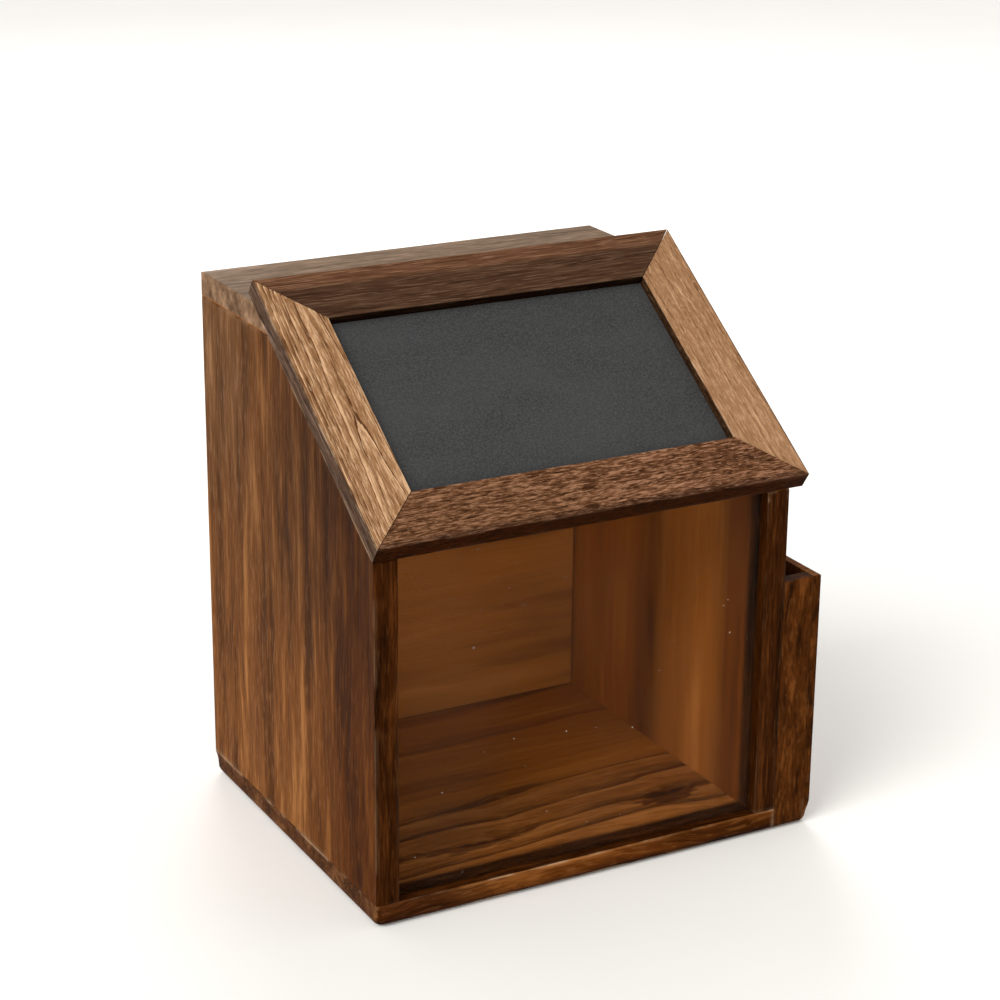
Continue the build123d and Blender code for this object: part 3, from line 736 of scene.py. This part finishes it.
def lidMember(name, piece, outerHigh, settings):
    axes = lidRail if "rail" in name else lidStile
    low, high = localBox(name, axes)
    inner = low[1] + rebate["width"] if outerHigh else high[1] - rebate["width"]
    level = low[2] + rebate["height"]
    inward = -1 if outerHigh else 1
    half, top = (high[1] - low[1]) / 2 / mm, (high[2] - low[2]) / 2 / mm
    paintedEdgeShade = {"tint": (0.07, 0.055, 0.045),                 # painted shade on the edge round the writing board
              "where": [("across", inward * (half - 0.5), inward * (half - 0.15)), ("through", top - 0.3, top - 1.0)]}
    settings = {**settings, "zones": [*settings["zones"], paintedEdgeShade]}

    def filled(along, across, through):
        inward = across < inner if outerHigh else across > inner
        return ~(inward & (through < level))

    makeBoard(name, "case", {
        "piece": piece, "axes": axes, "filled": filled, "extraLines": {1: (inner,), 2: (level,)},
        "bend": lambda points, low, high: mitred(points, low, high, outerHigh),
        "endEase": mitreEase, "steps": memberSteps, **settings,
    })


lidMember("lid_bottom_rail", "lidBottomRail", False, {
    "slot": "lid_dark_wood", "stain": "lidDark",
    "grain": {**railGrain, "Fibre Count": 0.95, "Fibre Length": 7.0, "Fleck Count": 1.7, "Fleck Length": 3.6, "Seed": 21.0},
    "relief": {"Ring Relief": 0.05, "Fibre Relief": 0.16, "Fleck Relief": 0.10},
    "bump": 0.5, "wear": 0.3, "wearColour": (0.26, 0.14, 0.08),
    "zones": [
        {"tint": (1.2, 1.2, 1.25), "where": [("along", -20, 30)]},
        {"tint": (0.62, 0.62, 0.66), "where": [("across", -9.0, -11.0)]},
        # the rail's outer face, which faces down: the dark front stain, with painted shade over it
        {"stain": "front", "where": [("across", -12.3, -12.65)]},
        {"tint": (0.70, 0.62, 0.62), "where": [("across", -12.3, -12.65)]},
    ],
})
lidMember("lid_top_rail", "lidTopRail", True, {
    "slot": "lid_dark_wood", "stain": "lidTop",
    "grain": {**railGrain, "Ring Spacing": 8.5, "Fibre Count": 0.7, "Fibre Length": 28.0, "Fleck Length": 14.0, "Seed": 33.0},
    "relief": {"Ring Relief": 0.08, "Fibre Relief": 0.16, "Fleck Relief": 0.05},
    "bump": 0.5, "wear": 0.3, "wearColour": (0.34, 0.21, 0.13),
    "zones": [{"tint": (1.7, 1.55, 1.45), "where": [("across", 3.0, 7.0)]}],
})
lidMember("lid_left_stile", "lidLeftStile", True, {
    "slot": "lid_light_wood", "stain": "lidLight", "grain": {**stileGrain, "Seed": 41.0},
    "relief": {"Ring Relief": 0.14, "Groove Relief": 0.28, "Fibre Relief": 0.14, "Fleck Relief": 0.0},
    "bump": 0.5, "wear": 0.8, "wearColour": (0.66, 0.45, 0.28),
    "zones": [{"tint": (0.25, 0.255, 0.32), "where": [("X", -99.5, -100.0)]}],
})
lidMember("lid_right_stile", "lidRightStile", False, {
    "slot": "lid_light_wood", "stain": "lidPale",
    "grain": {**stileGrain, "Ring Spacing": 4.5, "Pith Across": 45.0, "Pith Deep": 20.0, "Tilt": 0.03, "Fleck Length": 3.0, "Seed": 52.0},
    "relief": {"Ring Relief": 0.08, "Fibre Relief": 0.14, "Fleck Relief": 0.08},
    "bump": 0.5, "wear": 0.5, "wearColour": (0.66, 0.46, 0.32),
    "zones": [{"tint": (0.35, 0.35, 0.40), "where": [("X", 105.9, 106.4)]}],
})


def slatePaint():
    material, wires, shader = newMaterial("writingBoard")
    place = objectPlace(wires)
    grit = wires.noise(wires.scaled(place, 1.15), detail=2.0, roughness=0.7)[0]
    smear = wires.noise(wires.vector("MULTIPLY", place, (0.02, 0.05, 0.05)), detail=3.0)[0]
    base = wires.mix(wires.ramp(smear, 0.3, 0.7), (0.025, 0.0255, 0.026), (0.034, 0.0345, 0.0355))
    base = wires.mix(wires.ramp(grit, 0.34, 0.70), base, (0.053, 0.054, 0.056))
    wires.put(shader.inputs["Base Color"], base)
    wires.put(shader.inputs["Roughness"], wires.ramp(grit, 0.3, 0.7, 0.62, 0.8))
    shader.inputs["Specular IOR Level"].default_value = 0.2
    bump = wires.node("ShaderNodeBump")
    bump.inputs["Strength"].default_value = 0.6
    bump.inputs["Distance"].default_value = 0.15 * mm
    wires.put(bump.inputs["Height"], grit)
    wires.put(shader.inputs["Normal"], bump.outputs[0])
    return material


makeBoard("chalkboard_panel", "case", {
    "piece": "writingBoard", "slot": "chalkboard", "axes": lidRail, "paint": slatePaint,
    "grain": {"Fibre Count": 1.1, "Fleck Length": 1.4, "Fleck Count": 0.7, "Ring Spacing": 90.0, "Seed": 9.0},
    "relief": {"Ring Relief": 0.0, "Fibre Relief": 0.02, "Fleck Relief": 0.03},
    "steps": np.array([1.2, 0.9, 1.4]) * mm,
})

# The side pocket

pocketGrain = {"Ring Spacing": 5.0, "Pith Across": 20.0, "Pith Deep": 30.0, "Tilt": 0.06, "Waviness": 16.0, "Sharpness": 1.6,
               "Fibre Count": 0.25, "Fibre Length": 16.0, "Fleck Count": 0.7, "Fleck Length": 5.0}
pocketBoards = {
    "pocket_outer_board": ("pocketOuterBoard", grainZ, "side", 61.0),
    "pocket_front_board": ("pocketFrontBoard", grainZFront, "front", 62.0),
    "pocket_back_board": ("pocketBackBoard", grainZFront, "side", 63.0),
    "pocket_floor_board": ("pocketFloorBoard", grainY, "side", 64.0),
}
for node, (piece, axes, stain, seed) in pocketBoards.items():
    makeBoard(node, "case", {
        "piece": piece, "slot": "stained_wood", "axes": axes, "stain": stain,
        "grain": {**pocketGrain, "Fibre Length": 26.0 if stain == "front" else 16.0, "Seed": seed},
        "relief": {"Ring Relief": 0.07, "Fibre Relief": 0.12, "Fleck Relief": 0.0},
        "bump": 0.4, "wear": 0.35, "wearColour": (0.22, 0.12, 0.06), "foot": "pocket_outer_board",
        "zones": [
            {"stain": "front", "where": frontFaces},
            {"tint": (1.7, 1.8, 1.8), "where": frontFaces},
            # painted shade inside the pocket
            {"tint": (0.22, 0.18, 0.15), "where": [("X", 115.7, 115.3), ("Y", -81.3, -80.9), ("Y", 21.4, 20.9)]},
        ],
    })

makeBoard("door_stop_strip", "case", {
    "piece": "doorStopStrip", "slot": "floor_wood", "axes": grainZ, "stain": "inside",
    "grain": {**sideGrain, "Seed": 71.0}, "relief": sideRelief, "bump": 0.4,
    "wear": 0.4, "wearColour": (0.40, 0.25, 0.14),
})

# The back door, with a hole for the lock

lockLow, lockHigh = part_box("lock_plug")
lockCentre = ((lockLow.x + lockHigh.x) / 2, (lockLow.z + lockHigh.z) / 2)
doorLow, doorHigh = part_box("back_door")
lockHole = 9.1 * mm


def lockHoleCutter():
    outline = circle(lockCentre, lockHole)
    return [prismCutter(outline, grainXUpright, -doorHigh.y - 1 * mm, -doorLow.y + 1 * mm)]


makeBoard("back_door", "door", {
    "piece": "backDoor", "slot": "stained_wood", "axes": grainXUpright, "stain": "front",
    "grain": {"Ring Spacing": 9.0, "Pith Across": -150.0, "Pith Deep": 40.0, "Tilt": -0.07, "Waviness": 9.0, "Sharpness": 1.8,
              "Fibre Count": 0.2, "Fibre Length": 80.0, "Fleck Count": 0.5, "Fleck Length": 22.0, "Seed": 81.0},
    "relief": {"Ring Relief": 0.06, "Fibre Relief": 0.10, "Fleck Relief": 0.0},
    "bump": 0.35, "wear": 0.6, "wearColour": (0.24, 0.12, 0.06),
    "zones": [
        {"stain": "inside", "grain": insideGrain, "where": [("Y", 80.0, 77.5)]},
        {"tint": (1.15, 1.15, 1.07), "where": [("Y", 80.0, 77.5)]},
    ],
    "cutters": lockHoleCutter,
})
print("boards done")

# Metals

metals = {
    "chrome": {"bright": (0.80, 0.78, 0.75), "dull": (0.62, 0.59, 0.55), "rough": (0.06, 0.24), "clouds": 0.35},
    "nickelSteel": {"bright": (0.58, 0.55, 0.51), "dull": (0.46, 0.43, 0.39), "rough": (0.26, 0.42), "clouds": 0.3},
    "plainSteel": {"bright": (0.42, 0.40, 0.38), "dull": (0.20, 0.17, 0.14), "rough": (0.35, 0.6), "clouds": 0.9},
    "brass": {"bright": (0.78, 0.56, 0.26), "dull": (0.50, 0.33, 0.14), "rough": (0.2, 0.4), "clouds": 0.8},
}


def metalMaterial(name, look):
    material, wires, shader = newMaterial(name)
    shader.inputs["Metallic"].default_value = 1.0
    place = objectPlace(wires)
    cloud = wires.noise(wires.scaled(place, look["clouds"]), detail=3.0)[0]
    scratch = wires.noise(wires.vector("MULTIPLY", place, (5.0, 0.7, 9.0)), detail=4.0, roughness=0.7)[0]
    wires.put(shader.inputs["Base Color"], wires.mix(wires.ramp(cloud, 0.4, 0.72), look["bright"], look["dull"]))
    wires.put(shader.inputs["Roughness"], wires.ramp(wires.math("MULTIPLY", scratch, cloud), 0.12, 0.42, *look["rough"]))
    bump = wires.node("ShaderNodeBump")
    bump.inputs["Strength"].default_value = 0.08
    bump.inputs["Distance"].default_value = 0.03 * mm
    wires.put(bump.inputs["Height"], scratch)
    wires.put(shader.inputs["Normal"], bump.outputs[0])
    return material


metal = {name: metalMaterial(name, look) for name, look in metals.items()}


def finishPiece(obj, body, node, slotName, material):
    obj.data.materials.clear()
    obj.data.materials.append(material)
    smoothed(obj, 32)
    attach(obj, body)
    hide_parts(node)


def bevelledCopy(node, piece, body, slotName, material, width):
    mesh = bmesh.new()
    mesh.from_mesh(nodes[node].data)
    bmesh.ops.remove_doubles(mesh, verts=mesh.verts, dist=0.002 * mm)
    bmesh.ops.dissolve_limit(mesh, angle_limit=math.radians(0.4), verts=mesh.verts, edges=mesh.edges)
    data = bpy.data.meshes.new(piece)
    mesh.to_mesh(data)
    mesh.free()
    obj = bpy.data.objects.new(piece, data)
    scene.collection.objects.link(obj)
    bevel = obj.modifiers.new("eased", "BEVEL")
    bevel.width, bevel.segments = width, 2
    bevel.limit_method, bevel.angle_limit = "ANGLE", math.radians(32)
    bake(obj)
    finishPiece(obj, body, node, slotName, material)
    return obj


# Node, piece, body, metal and the width of its broken edges
metalPieces = [
    ("lock_housing", "lockHousing", "door", "chrome", 0.15), ("lock_nut", "lockNut", "door", "nickelSteel", 0.3),
    ("lock_plug", "lockPlug", "lock_core", "chrome", 0.10), ("lock_cam", "lockCam", "lock_core", "nickelSteel", 0.2),
    ("cam_screw", "camScrew", "lock_core", "nickelSteel", 0.12), ("lock_key", "lockKey", "key", "chrome", 0.22),
    ("spare_key", "spareKey", "spare", "chrome", 0.22),
    ("hinge_case_leaf_upper", "hingeCaseLeafUpper", "case", "nickelSteel", 0.12),
    ("hinge_case_leaf_lower", "hingeCaseLeafLower", "case", "nickelSteel", 0.12),
    ("hinge_door_leaf_upper", "hingeDoorLeafUpper", "door", "nickelSteel", 0.12),
    ("hinge_door_leaf_lower", "hingeDoorLeafLower", "door", "nickelSteel", 0.12),
    ("hinge_pin_upper", "hingePinUpper", "case", "nickelSteel", 0.15),
    ("hinge_pin_lower", "hingePinLower", "case", "nickelSteel", 0.15),
]
slotOfMetal = {"chrome": "chrome", "nickelSteel": "nickel_steel", "plainSteel": "plain_steel"}
for node, piece, body, finish, width in metalPieces:
    made = bevelledCopy(node, piece, body, slotOfMetal[finish], metal[finish], width * mm)
    print(piece, len(made.data.polygons), "faces")

for node, finish in {"frame_v_nails": "plainSteel", "lock_driver_pins": "brass", "lock_key_pins": "brass"}.items():
    for slot in nodes[node].material_slots:
        slot.material = metal[finish]

# Screws and brads: one fastener each, set on points

screw = {"headRadius": 2.0, "headDepth": 1.1, "shankRadius": 0.9, "length": 9.0, "tip": 1.8,
         "recessWidth": 0.5, "recessDepth": 0.6, "recessReach": 1.35}
brad = {"headRadius": 1.4, "headDepth": 0.7, "shankRadius": 0.7, "dome": 0.12}


def lathe(profile, count=32):
    profile = np.array(profile, float) * mm
    turns = np.arange(count) * 2 * math.pi / count
    rows = [np.column_stack([r * np.cos(turns), r * np.sin(turns), np.full(count, z)]) for r, z in profile]
    points = np.concatenate(rows + [[(0, 0, profile[0][1])], [(0, 0, profile[-1][1])]])
    first, last = len(points) - 2, len(points) - 1
    top = (len(rows) - 1) * count
    faces = []
    for i in range(count):
        j = (i + 1) % count
        faces.append((first, i, j))
        faces.append((last, top + j, top + i))
        faces += [(k * count + i, (k + 1) * count + i, (k + 1) * count + j, k * count + j) for k in range(len(rows) - 1)]
    mesh = bpy.data.meshes.new("fastener")
    mesh.from_pydata(points.tolist(), [], faces)
    obj = bpy.data.objects.new("fastener", mesh)
    scene.collection.objects.link(obj)
    return obj


def makeScrew():
    r, s, depth = screw["headRadius"], screw["shankRadius"], screw["headDepth"]
    tip, length = screw["tip"], screw["length"]
    profile = [(r - 0.12, 0), (r, -0.1), (s + 0.05, -depth), (s, -depth - 0.3), (s, tip - length), (0.12, -length)]
    obj = lathe(profile)
    half, reach = screw["recessWidth"] / 2, screw["recessReach"]
    cross = [(half, half), (half, reach), (-half, reach), (-half, half), (-reach, half), (-reach, -half),
             (-half, -half), (-half, -reach), (half, -reach), (half, -half), (reach, -half), (reach, half)]
    cutWith(obj, [prismCutter(np.array(cross) * mm, np.eye(3), -screw["recessDepth"] * mm, 0.5 * mm)])
    return obj


def makeBrad(length):
    r, s, depth, dome = brad["headRadius"], brad["shankRadius"], brad["headDepth"], brad["dome"]
    return lathe([(0.5, 0), (r - 0.2, -dome), (r, -0.3), (r, 0.1 - depth), (s, -depth), (s, 1.2 - length), (0.15, -length)], 20)


def makeFastenerTree():
    tree = bpy.data.node_groups.new("fastenersOnPoints", "GeometryNodeTree")
    add = tree.interface.new_socket
    add("Geometry", in_out="INPUT", socket_type="NodeSocketGeometry")
    add("Fastener", in_out="INPUT", socket_type="NodeSocketObject")
    add("Widest Turn", in_out="INPUT", socket_type="NodeSocketFloat").default_value = 6.28
    add("Seed", in_out="INPUT", socket_type="NodeSocketInt").default_value = 4
    add("Material", in_out="INPUT", socket_type="NodeSocketMaterial")
    add("Geometry", in_out="OUTPUT", socket_type="NodeSocketGeometry")
    wires = Wiring(tree)
    given = wires.node("NodeGroupInput").outputs
    facing = wires.node("GeometryNodeInputNamedAttribute", data_type="FLOAT_VECTOR")
    facing.inputs["Name"].default_value = "facing"
    aligned = wires.node("FunctionNodeAlignRotationToVector", axis="Z")
    wires.put(aligned.inputs["Vector"], facing.outputs[0])
    turn = wires.node("FunctionNodeRandomValue", data_type="FLOAT")
    wires.put(turn.inputs[3], given["Widest Turn"])
    wires.put(turn.inputs["Seed"], given["Seed"])
    turned = wires.node("FunctionNodeRotateRotation", rotation_space="LOCAL")
    wires.put(turned.inputs[0], aligned.outputs[0])
    wires.put(turned.inputs[1], wires.joined(0.0, 0.0, turn.outputs[1]))
    source = wires.node("GeometryNodeObjectInfo")
    wires.put(source.inputs["Object"], given["Fastener"])
    placed = wires.node("GeometryNodeInstanceOnPoints")
    wires.put(placed.inputs["Points"], given["Geometry"])
    wires.put(placed.inputs["Instance"], source.outputs["Geometry"])
    wires.put(placed.inputs["Rotation"], turned.outputs[0])
    real = wires.node("GeometryNodeRealizeInstances")
    wires.put(real.inputs[0], placed.outputs[0])
    painted = wires.node("GeometryNodeSetMaterial")
    wires.put(painted.inputs["Geometry"], real.outputs[0])
    wires.put(painted.inputs["Material"], given["Material"])
    wires.put(wires.node("NodeGroupOutput").inputs[0], painted.outputs[0])
    return tree


fastenerTree = makeFastenerTree()


def headEnd(part):
    low, high = part.min(0), part.max(0)
    axis = int((high - low).argmax())
    middle = (low + high) / 2
    across = [a for a in range(3) if a != axis]
    upper, lower = part[part[:, axis] > middle[axis]], part[part[:, axis] < middle[axis]]
    sign = 1 if np.ptp(upper[:, across], axis=0).max() > np.ptp(lower[:, across], axis=0).max() else -1
    facing = np.zeros(3)
    facing[axis] = sign
    middle[axis] = (high if sign > 0 else low)[axis]
    return middle, facing, (high - low)[axis]


def setFasteners(node, piece, body, slotName, finish, seed):
    parts = [headEnd(part) for part in looseParts(node)]
    template = makeScrew() if "screw" in node else makeBrad(parts[0][2] / mm)
    obj = newObject(piece, [place for place, _, _ in parts], np.empty((0, 3), int))
    facing = obj.data.attributes.new("facing", "FLOAT_VECTOR", "POINT")
    facing.data.foreach_set("vector", np.concatenate([facing for _, facing, _ in parts]))
    modifier = obj.modifiers.new("fasteners", "NODES")
    modifier.node_group = fastenerTree
    setInputs(modifier, {"Fastener": template, "Seed": seed, "Material": metal[finish]})
    bake(obj)
    bpy.data.objects.remove(template)
    finishPiece(obj, body, node, slotName, metal[finish])
    print(piece, len(parts), "pieces")


setFasteners("hinge_case_screws", "hingeCaseScrews", "case", "nickel_steel", "nickelSteel", 4)
setFasteners("hinge_door_screws", "hingeDoorScrews", "door", "nickel_steel", "nickelSteel", 9)
setFasteners("case_brads", "caseBrads", "case", "plain_steel", "plainSteel", 2)
setFasteners("pocket_brads", "pocketBrads", "case", "plain_steel", "plainSteel", 6)

# The split ring: flat wire in two turns, side by side, stepping over in one short jog

splitRing = {"wireAcross": 1.6 * mm, "wireAlong": 0.88 * mm, "turns": 1.86, "jog": 0.14, "seam": 1.1}


def makeRingTree():
    tree = bpy.data.node_groups.new("splitRing", "GeometryNodeTree")
    add = tree.interface.new_socket
    add("Geometry", in_out="INPUT", socket_type="NodeSocketGeometry")
    for name in ("Radius", "Wire Across", "Wire Along", "Turns", "Jog", "Seam"):
        add(name, in_out="INPUT", socket_type="NodeSocketFloat")
    add("Centre", in_out="INPUT", socket_type="NodeSocketVector")
    add("Material", in_out="INPUT", socket_type="NodeSocketMaterial")
    add("Geometry", in_out="OUTPUT", socket_type="NodeSocketGeometry")
    wires = Wiring(tree)
    given = wires.node("NodeGroupInput").outputs
    spiral = wires.node("GeometryNodeCurveSpiral")
    spiral.inputs["Resolution"].default_value = 72
    for key, value in {"Rotations": given["Turns"], "Start Radius": given["Radius"], "End Radius": given["Radius"], "Height": 0.0}.items():
        wires.put(spiral.inputs[key], value)
    factor = wires.node("GeometryNodeSplineParameter").outputs["Factor"]
    turns = wires.math("MULTIPLY", wires.math("SUBTRACT", factor, 0.5), given["Turns"])
    half = wires.math("MULTIPLY", given["Jog"], 0.5)
    step = wires.ramp(turns, wires.math("MULTIPLY", half, -1.0), half, -0.5, 0.5)
    stepped = wires.node("GeometryNodeSetPosition")
    wires.put(stepped.inputs["Geometry"], spiral.outputs[0])
    wires.put(stepped.inputs["Offset"], wires.joined(0.0, 0.0, wires.math("MULTIPLY", step, given["Wire Along"])))
    upright = wires.node("GeometryNodeSetCurveNormal", mode="Z_UP")
    wires.put(upright.inputs[0], stepped.outputs[0])
    section = wires.node("GeometryNodeCurvePrimitiveCircle")
    section.inputs["Resolution"].default_value = 14
    section.inputs["Radius"].default_value = 0.5
    flattened = wires.node("GeometryNodeTransform")
    wires.put(flattened.inputs["Geometry"], section.outputs[0])
    wires.put(flattened.inputs["Scale"], wires.joined(given["Wire Across"], given["Wire Along"], 1.0))
    wire = wires.node("GeometryNodeCurveToMesh")
    wires.put(wire.inputs["Curve"], upright.outputs[0])
    wires.put(wire.inputs["Profile Curve"], flattened.outputs[0])
    wire.inputs["Fill Caps"].default_value = True
    hung = wires.node("GeometryNodeTransform")
    wires.put(hung.inputs["Geometry"], wire.outputs[0])
    wires.put(hung.inputs["Translation"], given["Centre"])
    wires.put(hung.inputs["Rotation"], wires.joined(-math.pi / 2, given["Seam"], 0.0))
    real = wires.node("GeometryNodeRealizeInstances")
    wires.put(real.inputs[0], hung.outputs[0])
    painted = wires.node("GeometryNodeSetMaterial")
    wires.put(painted.inputs["Geometry"], real.outputs[0])
    wires.put(painted.inputs["Material"], given["Material"])
    wires.put(wires.node("NodeGroupOutput").inputs[0], painted.outputs[0])
    return tree


ringLow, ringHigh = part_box("key_ring")
ring = newObject("splitRing", np.array([[0.0, 0.0, 0.0]]), np.empty((0, 3), int))
ringModifier = ring.modifiers.new("ring", "NODES")
ringModifier.node_group = makeRingTree()
setInputs(ringModifier, {
    "Radius": (ringHigh.z - ringLow.z) / 2 - splitRing["wireAcross"] / 2, "Centre": tuple((ringLow + ringHigh) / 2),
    "Wire Across": splitRing["wireAcross"], "Wire Along": splitRing["wireAlong"], "Turns": splitRing["turns"],
    "Jog": splitRing["jog"], "Seam": splitRing["seam"], "Material": metal["chrome"],
})
bake(ring)
finishPiece(ring, "ring", "key_ring", "chrome", metal["chrome"])
print("splitRing", len(ring.data.polygons), "faces")

# The clear pane

clearPane = {"haze": 0.007, "edgeGloss": 0.4, "specks": 0.5}


def paneMaterial():
    material, wires, shader = newMaterial("clearPane")
    place = objectPlace(wires)
    speck = wires.ramp(wires.noise(wires.scaled(place, 0.55), detail=1.0)[0], 0.765, 0.80, 0.0, clearPane["specks"])
    smear = wires.noise(wires.vector("MULTIPLY", place, (0.02, 0.02, 0.012)), detail=3.0)[0]
    facing = wires.node("ShaderNodeLayerWeight")
    facing.inputs["Blend"].default_value = 0.35
    gloss = wires.math("MULTIPLY", wires.math("POWER", facing.outputs["Facing"], 3.0), clearPane["edgeGloss"])
    alpha = wires.math("ADD", gloss, wires.ramp(smear, 0.35, 0.7, clearPane["haze"] * 0.5, clearPane["haze"] * 1.4))
    wires.put(shader.inputs["Alpha"], wires.math("ADD", alpha, speck, clamp=True))
    wires.put(shader.inputs["Base Color"], wires.mix(speck, (0.30, 0.26, 0.22), (0.85, 0.80, 0.70)))
    wires.put(shader.inputs["Roughness"], wires.ramp(smear, 0.3, 0.7, 0.04, 0.12))
    shader.inputs["Specular IOR Level"].default_value = 0.5
    return material


bevelledCopy("window_pane", "windowPane", "case", "clear_sheet", paneMaterial(), 0.25 * mm)
print("metal and pane done")

# Floor, lights and camera

floorSize = 12.0
floor = newObject("paleFloor", np.array([(-1, -1, 0), (1, -1, 0), (1, 1, 0), (-1, 1, 0)]) * floorSize, [(0, 1, 2, 3)])
floorMaterial, floorWires, floorShader = newMaterial("paleFloor")
floorTone = floorWires.noise(floorWires.scaled(objectPlace(floorWires), 0.01), detail=3.0)[0]
floorWires.put(floorShader.inputs["Base Color"], floorWires.mix(floorTone, (0.92, 0.918, 0.912), (0.96, 0.958, 0.952)))
floorShader.inputs["Roughness"].default_value = 0.7
floor.data.materials.append(floorMaterial)

aim = Vector((0, 0, 0.12))
lamps = {
    "window": {"kind": "SUN", "place": (-1.5, -0.55, 1.5), "power": 2.3, "spread": 40, "colour": (1.0, 0.97, 0.92)},
    "front": {"kind": "AREA", "place": (-0.6, -1.85, 0.5), "power": 13, "spread": 1.0, "colour": (1.0, 0.96, 0.90)},
    "back": {"kind": "AREA", "place": (0.6, 1.5, 1.2), "power": 12, "spread": 0.9, "colour": (1.0, 0.97, 0.93)},
}
for name, lamp in lamps.items():
    light = bpy.data.lights.new(name, lamp["kind"])
    light.energy, light.color = lamp["power"], lamp["colour"]
    if lamp["kind"] == "SUN":
        light.angle = math.radians(lamp["spread"])
    else:
        light.shape, light.size = "DISK", lamp["spread"]
    lightObject = bpy.data.objects.new(name, light)
    lightObject.location = lamp["place"]
    lightObject.rotation_euler = (aim - lightObject.location).to_track_quat("-Z", "Y").to_euler()
    scene.collection.objects.link(lightObject)

world = bpy.data.worlds.new("studio")
world.use_nodes = True
world.node_tree.nodes["Background"].inputs["Color"].default_value = (1.0, 0.985, 0.96, 1.0)
world.node_tree.nodes["Background"].inputs["Strength"].default_value = 0.55
scene.world = world
scene.view_settings.view_transform = "Standard"

view = {"place": (-0.51205, -0.94750, 0.52982), "yaw": -28.36434738, "pitch": 19.53889507, "roll": 0.44727197,
        "lens": 92.286, "shift": (0.0105, 0.0006)}


def makeCamera():
    yaw, pitch, roll = (math.radians(view[key]) for key in ("yaw", "pitch", "roll"))
    turn = Matrix.Rotation(yaw, 3, "Z")
    forward = turn @ Vector((0, math.cos(pitch), -math.sin(pitch)))
    right = turn @ Vector((1, 0, 0))
    up = right.cross(forward)
    tiltedRight = math.cos(roll) * right + math.sin(roll) * up
    tiltedUp = math.cos(roll) * up - math.sin(roll) * right
    data = bpy.data.cameras.new("camera")
    data.lens, data.sensor_width, data.sensor_fit = view["lens"], 36.0, "HORIZONTAL"
    data.shift_x, data.shift_y = view["shift"]
    camera = bpy.data.objects.new("camera", data)
    camera.matrix_world = Matrix.Translation(view["place"]) @ Matrix((tiltedRight, tiltedUp, -forward)).transposed().to_4x4()
    scene.collection.objects.link(camera)
    scene.camera = camera


makeCamera()
print("scene done")
